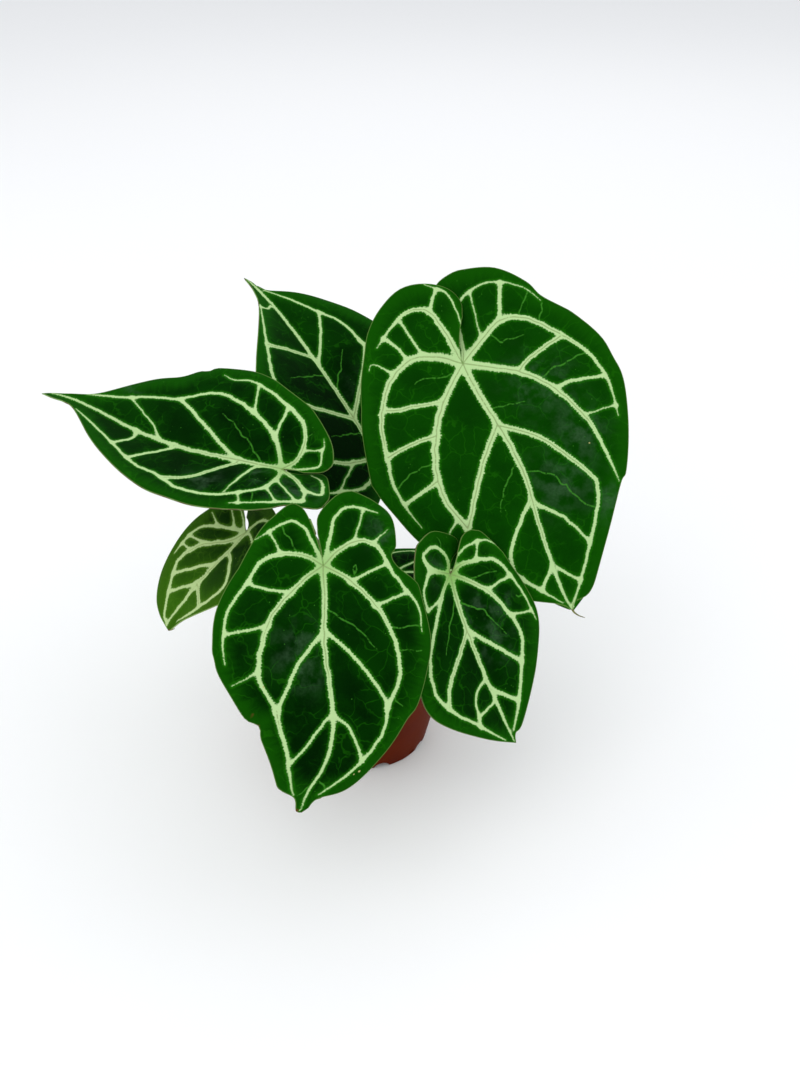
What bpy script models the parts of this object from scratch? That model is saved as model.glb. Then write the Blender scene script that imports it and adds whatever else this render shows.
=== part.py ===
"""Potted anthurium with seven heart-shaped leaves, in metres with +Z up.

The pot stands on Z = 0 with its middle at the origin, and -Y is the front. Every size below is
in millimetres. A leaf is drawn flat: x to the right and y toward the tip, both counted from the
point where its stalk joins, with the midrib along y. bend_blade then gives the blade its form.
"""

import math

import bmesh
import bpy
import numpy as np
from mathutils import Matrix, Vector

MM = 0.001
GAP = 0.3
SHARP_ANGLE = math.radians(40)

# Pot
POT_SEGMENTS = 60
POT_HEIGHT = 98
RIM_RADIUS = 60
BAND_RADIUS = 59
BAND_Z = 80
WALL_TOP_RADIUS = 56.6
BASE_RADIUS = 39.5
WALL = 1.6
FLOOR = 2
NOTCH_COUNT = 8
NOTCH_RADIUS = 5
NOTCH_START = -75
SLOT_SHIFT = -12
SLOT_WIDTH = 4.4
SLOT_HEIGHT = 1.6
SLOT_Z = 3
CUT_DEPTH = 12

# Potting mix and crown
MIX_TOP = 85
MIX_DOME = 1.5
CROWN_Z = 90
CROWN_RADIUS = 10
CROWN_STEM = 8
CROWN_FOOT = 62
ROOT_RISE = 92
ROOT_DEPTH = 12
ROOT_STEPS = 12
ROOTS = (
    ((20, 13), (26, 18), 2.1),
    ((-15, -17), (-20, -23), 1.9),
    ((-6, 21), (-9, 29), 2.0),
    ((12, -21), (17, -28), 1.7),
)

# Leaves. Right and left are seen from above with the tip ahead. Angles are in degrees: heading, pitch
# and roll turn a blade, droop and lobes bend it down ahead of and behind its joint, and rise and arch
# lift and bend each half. curl lowers the tip, lift moves the edges of the sinus, sway shifts the
# midrib at five places, and right and left are the margin from the sinus to the tip. A stalk leaves
# the crown at the two angles of leave, and passes the places of via.
BLADE = 0.8
SIDE_STEPS = 22
RAY_STEPS = 7
RAY_REACH = 0.45
TIP_SPREAD = 0.85
SINUS_WIDTH = 22
SINUS_DEPTH = 10
TIP_CURL_FROM = 0.62
STALK_GAP = 0.5
STALK_STEPS = 16
STALK_BASE = 2.8
STALK_THIN = 1.7
STALK_KNEE = 2.2
STALK_LEAD = 12

LEAVES = (
    dict(
        name="upper_right",
        joint=(57, 23.5, 256.5),
        heading=-57,
        pitch=-36,
        roll=15,
        length=152,
        half=71.5,
        droop=26,
        lobes=10,
        rise=(4, 17),
        arch=(21, 12),
        lift=(6, -5),
        twist=0,
        curl=4,
        sway=(0, -1, -3, 0, -1),
        sinus=(178, 151),
        tip=(0, 152),
        right=((-12, -24.5), (-15.5, -33.5), (-12, -43), (0, -50), (14.5, -53), (28.5, -48), (40, -39),
               (48, -27.5), (61, -5), (76.5, 37.5), (77.5, 45), (75.5, 59), (68.5, 81.5), (52, 108),
               (29.5, 129.5), (5, 145)),
        left=((-1, -23), (-2, -37), (-4, -46), (-10, -50.5), (-18, -51.5), (-25, -50), (-41, -42),
              (-53, -26.5), (-57, -14.5), (-68.5, 3), (-75.5, 19.5), (-75.5, 32.5), (-72.5, 50),
              (-54, 90), (-47, 98), (-17.5, 141), (-3, 147)),
        leave=(-8, 38),
        via=((38, 5, 127), (48, 16, 165), (53, 26, 205), (55.5, 32.5, 231)),
    ),
    dict(
        name="front",
        joint=(-16, -95.5, 205),
        heading=-84,
        pitch=-34,
        roll=-12,
        length=125.5,
        half=54.5,
        droop=46,
        lobes=8,
        rise=(4, 10),
        arch=(28, 28),
        lift=(0, 0),
        twist=6,
        curl=3,
        sway=(0, 1, -3, -3, 9),
        sinus=(165, 175),
        tip=(0, 125.5),
        right=((3.5, -17.5), (7, -27.5), (10.5, -31.5), (15, -32.5), (22.5, -27), (33, -15.5),
               (50.5, 17.5), (55.5, 39), (55.5, 46.5), (54.5, 54.5), (49.5, 66), (43, 77), (36, 80.5),
               (34, 88.5), (21.5, 109), (16.5, 113.5), (8, 117.5), (2.5, 124.5)),
        left=((2, -17.5), (1, -27), (-8, -37), (-15.5, -40), (-20.5, -39), (-30, -34), (-38, -26),
              (-39, -11.5), (-36, -6), (-39, 0), (-49.5, 7), (-52.5, 12.5), (-55.5, 30), (-53.5, 44.5),
              (-43.5, 69), (-37, 77), (-27, 93.5), (-15.5, 111), (-3.5, 117.5), (-2.5, 124.5)),
        leave=(-105, 45),
        via=((-7, -24, 120), (-14, -50, 153), (-18.5, -74, 179)),
    ),
    dict(
        name="lower_right",
        joint=(48.5, -69.5, 180),
        heading=-56,
        pitch=-50,
        roll=-3,
        length=100,
        half=42,
        droop=8,
        lobes=10,
        rise=(20, 12),
        arch=(18, 18),
        lift=(0, 0),
        twist=4,
        curl=3,
        sway=(0, 3, 2, -1, -7),
        sinus=(206, 123),
        tip=(0, 98.5),
        right=((-17, -9), (-19.5, -14), (-16, -18), (1, -24.5), (14, -22), (19, -18), (26, -5), (31, 12),
               (36, 28), (43, 46), (44, 60), (36, 72), (16.5, 88)),
        left=((-9, -10), (-14, -16), (-19, -18), (-23, -17), (-28, -13), (-38, 6), (-44, 21), (-45, 38),
              (-36, 56), (-9.5, 88), (-2.5, 93)),
        leave=(-50, 35),
        via=((18, -20, 112), (34, -42, 142), (41.5, -56, 162)),
    ),
    dict(
        name="left",
        joint=(-41.5, -29, 220),
        heading=152,
        pitch=2,
        roll=-12,
        length=167,
        half=53,
        droop=0,
        lobes=10,
        rise=(28, 15),
        arch=(14, 12),
        lift=(1, -2),
        twist=14,
        curl=0,
        sway=(0, -9, -10, -3, -2),
        sinus=(162, 168),
        tip=(0, 167),
        right=((1, -13), (4, -23), (9, -27), (14, -26), (23, -20), (35, -5), (49, 18), (57, 33), (61, 49),
               (58, 68), (54, 73), (52, 79), (44, 88), (34, 105), (12, 131), (4, 150)),
        left=((6, -14), (9, -18), (9, -21), (6, -25), (-7, -34), (-14, -36), (-21, -35), (-26, -20),
              (-33, -13), (-41, -1), (-45, 18), (-44, 36), (-40, 59), (-24, 105), (-6, 140), (-4.5, 156)),
        leave=(165, 55),
        via=((-14, -1, 122), (-26.5, -5, 153), (-38, -15, 184), (-41, -24, 202)),
    ),
    dict(
        name="back",
        joint=(8, 30, 191),
        heading=129,
        pitch=40,
        roll=2,
        length=155,
        half=66,
        droop=25,
        lobes=-10,
        rise=(14, 26),
        arch=(22, 15),
        lift=(0, 0),
        twist=0,
        curl=0,
        sway=(0, 0, 0, 1, 1),
        sinus=(156, 155),
        tip=(0, 154),
        right=((4, -9), (15, -19), (25, -22), (37, -18), (49, -10), (59, 2), (66, 16), (69, 46), (66, 60),
               (60, 72), (49, 92), (24, 121), (4.5, 137), (1.5, 148)),
        left=((-5, -11), (-11, -20), (-29, -31), (-42, -33), (-55, -30), (-61, -25), (-69, -8), (-75, 11),
              (-76, 22), (-67, 47), (-54, 68), (-14, 119), (-4.5, 137)),
        leave=(95, 62),
        via=((-4, 14, 118), (-2, 26, 145), (2, 36, 172)),
    ),
    dict(
        name="low_back",
        joint=(18, 29, 107),
        heading=4,
        pitch=4,
        roll=0,
        length=72,
        half=26,
        droop=16,
        lobes=6,
        rise=(6, 6),
        arch=(14, 14),
        lift=(0, 0),
        twist=0,
        curl=0,
        sway=(0, 1, 0, -1, 1),
        sinus=(150, 150),
        tip=(0, 74),
        right=((4, -8), (11, -14), (19, -13), (25, -5), (27, 8), (25, 24), (19, 42), (10, 58), (3, 67)),
        left=((-4, -8), (-10, -14), (-19, -14), (-25, -6), (-27, 7), (-25, 24), (-19, 41), (-10, 57),
              (-3, 67)),
        leave=(60, 15),
        via=((11, 19, 96),),
    ),
    dict(
        name="young_left",
        joint=(-65, -24, 175),
        heading=-144,
        pitch=-38,
        roll=0,
        length=73,
        half=38,
        droop=17,
        lobes=10,
        rise=(14, 14),
        arch=(14, 14),
        lift=(1, -1),
        twist=3,
        curl=0,
        sway=(0, 3, 5, 6, 9),
        sinus=(124, 207),
        tip=(0, 74),
        right=((7, -6), (15, -11), (21, -11), (27, -9), (35, 12), (35, 32), (32, 49), (24, 63), (14, 70)),
        left=((12, -6), (21, -13), (17, -17), (2, -20), (-11, -19), (-19, -15), (-27, -9), (-33, -1),
              (-37, 11), (-33, 30), (-24, 43), (-6, 62)),
        leave=(-158, 28),
        via=((-24, -9, 108), (-44, -14, 135), (-56, -18, 158)),
    ),
)

LEAF_COLOR = (0.02, 0.11, 0.02, 1)
YOUNG_LEAF_COLOR = (0.07, 0.17, 0.03, 1)
STALK_COLOR = (0.2, 0.26, 0.08, 1)
CROWN_COLOR = (0.2, 0.14, 0.07, 1)
MIX_COLOR = (0.06, 0.035, 0.02, 1)
POT_COLOR = (0.13, 0.028, 0.012, 1)


def clear_scene():
    for obj in list(bpy.data.objects):
        bpy.data.objects.remove(obj, do_unlink=True)


def make_material(name, color, roughness):
    material = bpy.data.materials.new(name)
    material.use_nodes = True
    shader = material.node_tree.nodes["Principled BSDF"]
    shader.inputs["Base Color"].default_value = color
    shader.inputs["Roughness"].default_value = roughness
    return material


def add_object(name, mesh, material, collection):
    obj = bpy.data.objects.new(name, mesh)
    if material:
        mesh.materials.append(material)
    mesh.shade_smooth()
    mesh.set_sharp_from_angle(angle=SHARP_ANGLE)
    collection.objects.link(obj)
    return obj


def add_cutter(name, mesh, collection):
    obj = add_object(name, mesh, None, collection)
    obj.hide_render = True
    obj.display_type = "WIRE"
    return obj


def add_boolean(obj, other, operation):
    modifier = obj.modifiers.new(other.name, "BOOLEAN")
    modifier.operation = operation
    modifier.solver = "EXACT"
    modifier.object = other


def through(points, count, spread=1):
    """Places on a smooth curve through the points: evenly spaced, or wider toward its end."""
    given = np.array(points, float)
    ends = np.vstack([2 * given[0] - given[1], given, 2 * given[-1] - given[-2]])
    t = np.linspace(0, 1, 16, endpoint=False)[:, None]
    pieces = []
    for a, b, c, d in zip(ends, ends[1:], ends[2:], ends[3:]):
        square = (2 * a - 5 * b + 4 * c - d) * t**2
        cube = (3 * b - a - 3 * c + d) * t**3
        pieces.append((2 * b + (c - a) * t + square + cube) / 2)
    fine = np.vstack(pieces + [given[-1:]])
    run = np.concatenate([[0], np.cumsum(np.linalg.norm(np.diff(fine, axis=0), axis=1))])
    places = run[-1] * (1 - np.linspace(1, 0, count) ** spread)
    return np.stack([np.interp(places, run, axis) for axis in fine.T], axis=1)


def arc(distance, angle, turn):
    """How far along and how far up an arc gets that starts at an angle and turns so much per mm."""
    turn = np.where(np.abs(turn) < 1e-6, 1e-6, turn)
    end = angle + turn * distance
    return (np.sin(end) - np.sin(angle)) / turn, (np.cos(angle) - np.cos(end)) / turn


def leaf_axes(leaf):
    """The right, tip and upper directions of a blade at its joint."""
    heading, pitch, roll = (math.radians(leaf[key]) for key in ("heading", "pitch", "roll"))
    level = np.array([math.sin(heading), -math.cos(heading), 0])
    flat = math.cos(pitch)
    ahead = np.array([math.cos(heading) * flat, math.sin(heading) * flat, math.sin(pitch)])
    upper = np.cross(level, ahead)
    right = math.cos(roll) * level - math.sin(roll) * upper
    return right, ahead, np.cross(right, ahead)


def bend_blade(leaf, x, y, side):
    """Places in space for places on the flat drawing. side is 1 on the right half and -1 on the left."""
    length = leaf["length"]
    turn = np.where(y >= 0, -math.radians(leaf["droop"]), math.radians(leaf["lobes"])) / length
    along, up = arc(y, 0, turn)
    slope = turn * y
    up = up - leaf["curl"] * (np.clip(y / length - TIP_CURL_FROM, 0, None) / (1 - TIP_CURL_FROM)) ** 2
    rise = np.radians(np.where(side > 0, leaf["rise"][0], leaf["rise"][1]))
    arch = np.radians(np.where(side > 0, leaf["arch"][0], leaf["arch"][1]))
    out, high = arc(x * side, rise, -arch / leaf["half"])
    twist = math.radians(leaf["twist"]) * y / length
    across = side * out * np.cos(twist) + high * np.sin(twist)
    high = high * np.cos(twist) - side * out * np.sin(twist)
    near_sinus = np.exp(-((x / SINUS_WIDTH) ** 2)) * (1 - np.exp(-((np.minimum(y, 0) / SINUS_DEPTH) ** 2)))
    high = high + np.where(side > 0, leaf["lift"][0], leaf["lift"][1]) * near_sinus
    sway = np.polyfit(np.linspace(0, 1, 5), leaf["sway"], 4)
    across = across + np.polyval(sway, np.clip(y / length, 0, 1.15))
    right, ahead, upper = leaf_axes(leaf)
    place = np.array(leaf["joint"]) + across[..., None] * right
    place = place + (along - high * np.sin(slope))[..., None] * ahead
    return place + (up + high * np.cos(slope))[..., None] * upper


def half_rays(leaf, side):
    """Curved rays from the joint to the margin of one half, from the sinus to the tip."""
    points = leaf["right"] if side > 0 else leaf["left"]
    margin = through(list(points) + [leaf["tip"]], SIDE_STEPS + 1, TIP_SPREAD)
    bearing = np.degrees(np.arctan2(margin[:, 0] * side, margin[:, 1]))
    bearing = np.minimum.accumulate(np.where(bearing < -90, bearing + 360, bearing))
    start = leaf["sinus"][0] if side > 0 else leaf["sinus"][1]
    start = np.radians(bearing * start / bearing[0])
    reach = RAY_REACH * np.linalg.norm(margin, axis=1)
    bend = np.stack([side * np.sin(start) * reach, np.cos(start) * reach], axis=1)
    t = np.linspace(0, 1, RAY_STEPS + 1)[None, :, None]
    return 2 * t * (1 - t) * bend[:, None] + t**2 * margin[:, None]


def blade_mesh(leaf):
    """An open sheet of triangles: a grid whose one edge is drawn together at the joint."""
    halves = []
    for side in (-1, 1):
        rays = half_rays(leaf, side)
        halves.append(bend_blade(leaf, rays[..., 0], rays[..., 1], side))
    places = np.concatenate([halves[0], halves[1][-2::-1]])
    sheet = bmesh.new()
    bmesh.ops.create_grid(sheet, x_segments=2 * SIDE_STEPS, y_segments=RAY_STEPS, size=1)
    for vertex in sheet.verts:
        column = round((vertex.co.x + 1) * SIDE_STEPS)
        row = round((vertex.co.y + 1) * RAY_STEPS / 2)
        vertex.co = Vector(places[column, row] * MM)
    bmesh.ops.remove_doubles(sheet, verts=sheet.verts, dist=1e-6)
    bmesh.ops.triangulate(sheet, faces=sheet.faces)
    mesh = bpy.data.meshes.new("leaf_" + leaf["name"])
    sheet.to_mesh(mesh)
    sheet.free()
    return mesh


def add_blade(leaf, material, collection):
    obj = add_object("leaf_" + leaf["name"], blade_mesh(leaf), material, collection)
    thickness = obj.modifiers.new("Thickness", "SOLIDIFY")
    thickness.thickness = BLADE * MM
    thickness.offset = -1
    return obj


def tube_curve(name, places, radii):
    curve = bpy.data.curves.new(name, "CURVE")
    curve.dimensions = "3D"
    curve.bevel_depth = MM
    curve.bevel_resolution = 2
    curve.use_fill_caps = True
    spline = curve.splines.new("POLY")
    spline.points.add(len(places) - 1)
    for point, place, radius in zip(spline.points, places, radii):
        point.co = (*(place * MM), 1)
        point.radius = radius
    return curve


def tube_mesh(name, places, radii, collection):
    """The tube as a closed mesh, with its caps joined to its side."""
    obj = bpy.data.objects.new(name, tube_curve(name, places, radii))
    collection.objects.link(obj)
    graph = bpy.context.evaluated_depsgraph_get()
    mesh = bpy.data.meshes.new_from_object(obj.evaluated_get(graph))
    bpy.data.objects.remove(obj, do_unlink=True)
    shell = bmesh.new()
    shell.from_mesh(mesh)
    bmesh.ops.remove_doubles(shell, verts=shell.verts, dist=1e-6)
    bmesh.ops.recalc_face_normals(shell, faces=shell.faces)
    shell.to_mesh(mesh)
    shell.free()
    mesh.materials.clear()
    return mesh


def add_stalk(leaf, material, collection):
    crown = np.array([0, 0, CROWN_Z])
    turn, lift = (math.radians(angle) for angle in leaf["leave"])
    out = np.array([math.cos(turn) * math.cos(lift), math.sin(turn) * math.cos(lift), math.sin(lift)])
    upper = leaf_axes(leaf)[2]
    joint = np.array(leaf["joint"])
    lead = min(STALK_LEAD, 0.3 * np.linalg.norm(joint - crown))
    knots = [crown + out * (CROWN_RADIUS + GAP), crown + out * (CROWN_RADIUS + lead)]
    knots += [np.array(place) for place in leaf["via"]]
    knots += [joint - upper * (lead + 1), joint - upper * (BLADE + STALK_GAP)]
    places = through(knots, STALK_STEPS + 1)
    t = np.linspace(0, 1, STALK_STEPS + 1)
    radii = STALK_THIN + (STALK_BASE - STALK_THIN) * (1 - t) ** 2
    radii += (STALK_KNEE - STALK_THIN) * np.exp(-(((t - 0.94) / 0.06) ** 2))
    mesh = tube_mesh("stalk_" + leaf["name"], places, radii, collection)
    return add_object("stalk_" + leaf["name"], mesh, material, collection)


def turned_mesh(name, profile, collection):
    """A solid turned round the Z axis from radius and height pairs, as a mesh."""
    outline = bmesh.new()
    points = [outline.verts.new((radius * MM, 0, height * MM)) for radius, height in profile]
    for a, b in zip(points, points[1:]):
        outline.edges.new((a, b))
    mesh = bpy.data.meshes.new(name)
    outline.to_mesh(mesh)
    outline.free()
    obj = bpy.data.objects.new(name, mesh)
    collection.objects.link(obj)
    screw = obj.modifiers.new("Turn", "SCREW")
    screw.steps = POT_SEGMENTS
    screw.render_steps = POT_SEGMENTS
    screw.use_merge_vertices = True
    screw.merge_threshold = 0.00001
    graph = bpy.context.evaluated_depsgraph_get()
    solid = bpy.data.meshes.new_from_object(obj.evaluated_get(graph))
    bpy.data.objects.remove(obj, do_unlink=True)
    return solid


def wall_radius(height):
    return BASE_RADIUS + (WALL_TOP_RADIUS - BASE_RADIUS) * height / BAND_Z


def add_pot(material, collection, cutters):
    profile = (
        (0, FLOOR),
        (wall_radius(FLOOR) - WALL, FLOOR),
        (wall_radius(BAND_Z) - WALL, BAND_Z),
        (BAND_RADIUS - WALL, BAND_Z + 2),
        (RIM_RADIUS - WALL, POT_HEIGHT),
        (RIM_RADIUS, POT_HEIGHT),
        (RIM_RADIUS + 0.4, POT_HEIGHT - 1.2),
        (RIM_RADIUS, POT_HEIGHT - 3),
        (RIM_RADIUS - 0.7, POT_HEIGHT - 3.6),
        (BAND_RADIUS, BAND_Z + 0.8),
        (BAND_RADIUS - 0.8, BAND_Z),
        (WALL_TOP_RADIUS, BAND_Z),
        (BASE_RADIUS + 0.3, 2),
        (BASE_RADIUS - 0.4, 0),
        (0, 0),
    )
    pot = add_object("pot", turned_mesh("pot", profile, collection), material, collection)
    tools = bmesh.new()
    middle = Vector(((BASE_RADIUS - WALL / 2) * MM, 0, 0))
    for index in range(NOTCH_COUNT):
        angle = math.radians(NOTCH_START + index * 360 / NOTCH_COUNT)
        turn = Matrix.Rotation(angle, 4, "Z")
        lie = Matrix.Rotation(math.radians(90), 4, "Y")
        place = turn @ Matrix.Translation(middle) @ lie
        size = dict(segments=16, radius1=NOTCH_RADIUS * MM, radius2=NOTCH_RADIUS * MM, depth=CUT_DEPTH * MM)
        bmesh.ops.create_cone(tools, cap_ends=True, matrix=place, **size)
        turn = Matrix.Rotation(angle + math.radians(SLOT_SHIFT), 4, "Z")
        size = Matrix.Diagonal((CUT_DEPTH * MM, SLOT_WIDTH * MM, SLOT_HEIGHT * MM, 1))
        place = turn @ Matrix.Translation(middle + Vector((0, 0, SLOT_Z * MM))) @ size
        bmesh.ops.create_cube(tools, size=1, matrix=place)
    mesh = bpy.data.meshes.new("drainage_cuts")
    tools.to_mesh(mesh)
    tools.free()
    add_boolean(pot, add_cutter("drainage_cuts", mesh, cutters), "DIFFERENCE")


def crown_profile(grow):
    angles = [math.radians(angle) for angle in range(75, -16, -15)]
    radius = CROWN_RADIUS + grow
    dome = [(radius * math.cos(angle), CROWN_Z + radius * math.sin(angle)) for angle in angles]
    stem = CROWN_STEM + grow
    foot = CROWN_FOOT - grow
    bevel = 3
    shaft = [(stem, MIX_TOP - CROWN_STEM), (stem, foot + bevel), (stem - bevel, foot), (0, foot)]
    return [(0, CROWN_Z + radius)] + dome + shaft


def root_mesh(index, grow, collection):
    knee, end, radius = ROOTS[index]
    knots = (
        (knee[0] * 0.2, knee[1] * 0.2, CROWN_Z),
        (*knee, ROOT_RISE),
        (*end, MIX_TOP - 1),
        (end[0] * 1.04, end[1] * 1.04, MIX_TOP - ROOT_DEPTH - grow),
    )
    places = through(knots, ROOT_STEPS)
    return tube_mesh(f"root_{index}", places, np.full(ROOT_STEPS, radius + grow), collection)


def add_crown(material, collection, cutters):
    crown = add_object("crown", turned_mesh("crown", crown_profile(0), collection), material, collection)
    for index in range(len(ROOTS)):
        root = add_cutter(f"root_{index}", root_mesh(index, 0, collection), cutters)
        add_boolean(crown, root, "UNION")


def add_mix(material, collection, cutters):
    bottom = FLOOR + GAP
    side = WALL + GAP
    profile = (
        (0, MIX_TOP + MIX_DOME),
        (20, MIX_TOP + MIX_DOME * 0.9),
        (40, MIX_TOP + MIX_DOME * 0.4),
        (BAND_RADIUS - side, MIX_TOP - 0.5),
        (BAND_RADIUS - side, BAND_Z + 2 + GAP),
        (wall_radius(BAND_Z) - side, BAND_Z + GAP),
        (wall_radius(bottom) - side, bottom),
        (0, bottom),
    )
    mix = add_object("potting_mix", turned_mesh("potting_mix", profile, collection), material, collection)
    room = add_cutter("crown_room", turned_mesh("crown_room", crown_profile(GAP), collection), cutters)
    add_boolean(mix, room, "DIFFERENCE")
    for index in range(len(ROOTS)):
        room = add_cutter(f"root_room_{index}", root_mesh(index, GAP, collection), cutters)
        add_boolean(mix, room, "DIFFERENCE")


def main():
    clear_scene()
    collection = bpy.data.collections.new("potted_anthurium")
    cutters = bpy.data.collections.new("cutters")
    bpy.context.scene.collection.children.link(collection)
    bpy.context.scene.collection.children.link(cutters)
    add_pot(make_material("pot_plastic", POT_COLOR, 0.5), collection, cutters)
    add_mix(make_material("potting_mix", MIX_COLOR, 0.95), collection, cutters)
    add_crown(make_material("crown", CROWN_COLOR, 0.8), collection, cutters)
    for leaf in LEAVES:
        name = leaf["name"]
        color = YOUNG_LEAF_COLOR if name.startswith("young") else LEAF_COLOR
        add_blade(leaf, make_material("blade_" + name, color, 0.6), collection)
        add_stalk(leaf, make_material("stalk_" + name, STALK_COLOR, 0.5), collection)


main()
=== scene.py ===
# %% [markdown]
# # A potted plant with velvet leaves
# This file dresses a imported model: a nursery pot, potting mix, a short crown, seven stalks and seven
# heart-shaped blades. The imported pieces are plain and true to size. Here each blade becomes a fine
# sheet with its net of pale veins, and the rest gets rounder forms and its own finish. The first
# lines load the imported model, which nothing here moves.

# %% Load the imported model
import math
import random

import bmesh
import bpy
import numpy as np
from mathutils import Matrix, Vector, noise


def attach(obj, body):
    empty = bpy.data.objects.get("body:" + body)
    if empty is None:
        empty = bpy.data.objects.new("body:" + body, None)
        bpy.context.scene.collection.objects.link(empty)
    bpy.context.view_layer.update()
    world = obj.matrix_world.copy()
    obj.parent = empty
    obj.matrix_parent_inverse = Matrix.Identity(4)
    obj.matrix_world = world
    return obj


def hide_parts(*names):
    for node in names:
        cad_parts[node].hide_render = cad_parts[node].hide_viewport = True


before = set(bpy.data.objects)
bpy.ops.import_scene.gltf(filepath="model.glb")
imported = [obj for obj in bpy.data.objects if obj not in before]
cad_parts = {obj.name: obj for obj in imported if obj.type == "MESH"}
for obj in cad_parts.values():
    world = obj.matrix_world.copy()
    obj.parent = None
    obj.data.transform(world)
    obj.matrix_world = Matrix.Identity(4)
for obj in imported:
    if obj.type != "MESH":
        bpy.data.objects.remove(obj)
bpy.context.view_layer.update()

SEED = 11
noise.seed_set(SEED)

# %% Objects and meshes by name
MM = 0.001
MERGE = 1e-6


def add_object(name, data):
    thing = bpy.data.objects.new(name, data)
    bpy.context.scene.collection.objects.link(thing)
    return thing


def clean(shell):
    """Doubles go before the faces are turned outward."""
    bmesh.ops.remove_doubles(shell, verts=shell.verts, dist=MERGE)
    bmesh.ops.recalc_face_normals(shell, faces=shell.faces)


def finished(shell, name, smooth=True):
    """The mesh that a bmesh has made."""
    mesh = bpy.data.meshes.new(name)
    shell.to_mesh(mesh)
    shell.free()
    if smooth:
        mesh.shade_smooth()
    return mesh


# %% [markdown]
# ## Camera
# A photograph fixes where the eye was. The camera stands in front of the plant and looks down by 35
# degrees. A lens is given in millimetres for a sensor whose long side is 36 mm, so a focal length
# that was measured in pixels is turned into lens millimetres by the height of the image.

# %% Camera at the photograph's viewing angle
PHOTO_HEIGHT = 1065
FOCAL_PIXELS = 1100
SENSOR = 36
NEAREST_SEEN = 0.01
CAMERA_PLACE = (21.9, -531.9, 530.5)
CAMERA_DOWN = 35


def add_camera():
    data = bpy.data.cameras.new("camera")
    data.sensor_width = SENSOR
    data.lens = SENSOR * FOCAL_PIXELS / PHOTO_HEIGHT
    data.clip_start = NEAREST_SEEN
    camera = add_object("camera", data)
    camera.location = Vector(CAMERA_PLACE) * MM
    camera.rotation_euler = (math.radians(90 - CAMERA_DOWN), 0, 0)
    bpy.context.scene.camera = camera
    return camera


camera = add_camera()
print("lens:", round(camera.data.lens, 2), "mm")

# %% [markdown]
# ## Shader sums
# A pattern on a surface is a sum of simple nodes. Wiring them by hand is slow to read, so a small
# class wraps a socket: a plain Python expression on such values adds the Math nodes by itself. A
# second class holds one material, with a single method that adds any other node.

# %% Values that add Math nodes
class Value:
    """A shader socket that can be used in sums."""

    def __init__(self, tree, socket):
        self.tree = tree
        self.socket = socket

    def math(self, operation, other, turned=False):
        """A sum of this value and another value or number, which comes first when turned."""
        node = self.tree.nodes.new("ShaderNodeMath")
        node.operation = operation
        for place, item in zip(node.inputs, (other, self) if turned else (self, other)):
            if isinstance(item, Value):
                self.tree.links.new(item.socket, place)
            else:
                place.default_value = item
        return Value(self.tree, node.outputs[0])

    def __add__(self, other):
        return self.math("ADD", other)

    __radd__ = __add__

    def __sub__(self, other):
        return self.math("SUBTRACT", other)

    def __rsub__(self, other):
        return self.math("SUBTRACT", other, turned=True)

    def __mul__(self, other):
        return self.math("MULTIPLY", other)

    __rmul__ = __mul__


# %% A material and its nodes
class Finish:
    """A material whose Principled shader takes constants on its sockets and patterns by wires."""

    def __init__(self, name, **constants):
        self.material = bpy.data.materials.new(name)
        self.material.use_nodes = True
        self.tree = self.material.node_tree
        self.shader = self.tree.nodes["Principled BSDF"]
        for words, value in constants.items():
            self.shader.inputs[words.replace("_", " ")].default_value = value

    def node(self, kind, settings=None, sockets=None, output=0):
        node = self.tree.nodes.new(kind)
        for words, value in (settings or {}).items():
            setattr(node, words, value)
        for place, value in (sockets or {}).items():
            if isinstance(value, Value):
                self.tree.links.new(value.socket, node.inputs[place])
            else:
                node.inputs[place].default_value = value
        return Value(self.tree, node.outputs[output])

    def where(self):
        return self.node("ShaderNodeTexCoord", output="Object")

    def attribute(self, name):
        return self.node("ShaderNodeAttribute", {"attribute_name": name}, output="Fac")

    def joined(self, x, y, z):
        """A vector from three values."""
        return self.node("ShaderNodeCombineXYZ", None, {"X": x, "Y": y, "Z": z})

    def noise(self, place, scale, detail=2, output=0):
        sockets = {"Vector": place, "Scale": scale, "Detail": detail}
        return self.node("ShaderNodeTexNoise", None, sockets, output)

    def cells(self, place, scale, feature="F1"):
        """The distance from the middle of a cell, or from its edge."""
        return self.node("ShaderNodeTexVoronoi", {"feature": feature}, {"Vector": place, "Scale": scale})

    def step(self, value, low, high, first=0, last=1):
        """A soft step that goes from first at low to last at high."""
        sockets = {"Value": value, "From Min": low, "From Max": high, "To Min": first, "To Max": last}
        return self.node("ShaderNodeMapRange", {"interpolation_type": "SMOOTHSTEP"}, sockets)

    def mix(self, color, *coats):
        """A colour with coats laid over it in turn, each by its share. A colour is a triple of
        numbers or a value."""
        for coat, share in coats:
            pair = [item if isinstance(item, Value) else (*item, 1) for item in (color, coat)]
            sockets = {0: share, 6: pair[0], 7: pair[1]}
            color = self.node("ShaderNodeMix", {"data_type": "RGBA"}, sockets, output=2)
        return color

    def bump(self, height, strength, distance):
        sockets = {"Height": height, "Strength": strength, "Distance": distance}
        self.wire(Normal=self.node("ShaderNodeBump", None, sockets))

    def wire(self, **values):
        for words, value in values.items():
            self.tree.links.new(value.socket, self.shader.inputs[words.replace("_", " ")])


# %% [markdown]
# ## Leaf drawings
# A leaf is drawn flat first, in millimetres: x to the right and y toward the tip, counted from the
# point where the stalk joins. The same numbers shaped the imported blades, so the fine blades keep
# their form. Heading, pitch and roll turn a blade, and the other angles bend it.

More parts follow.
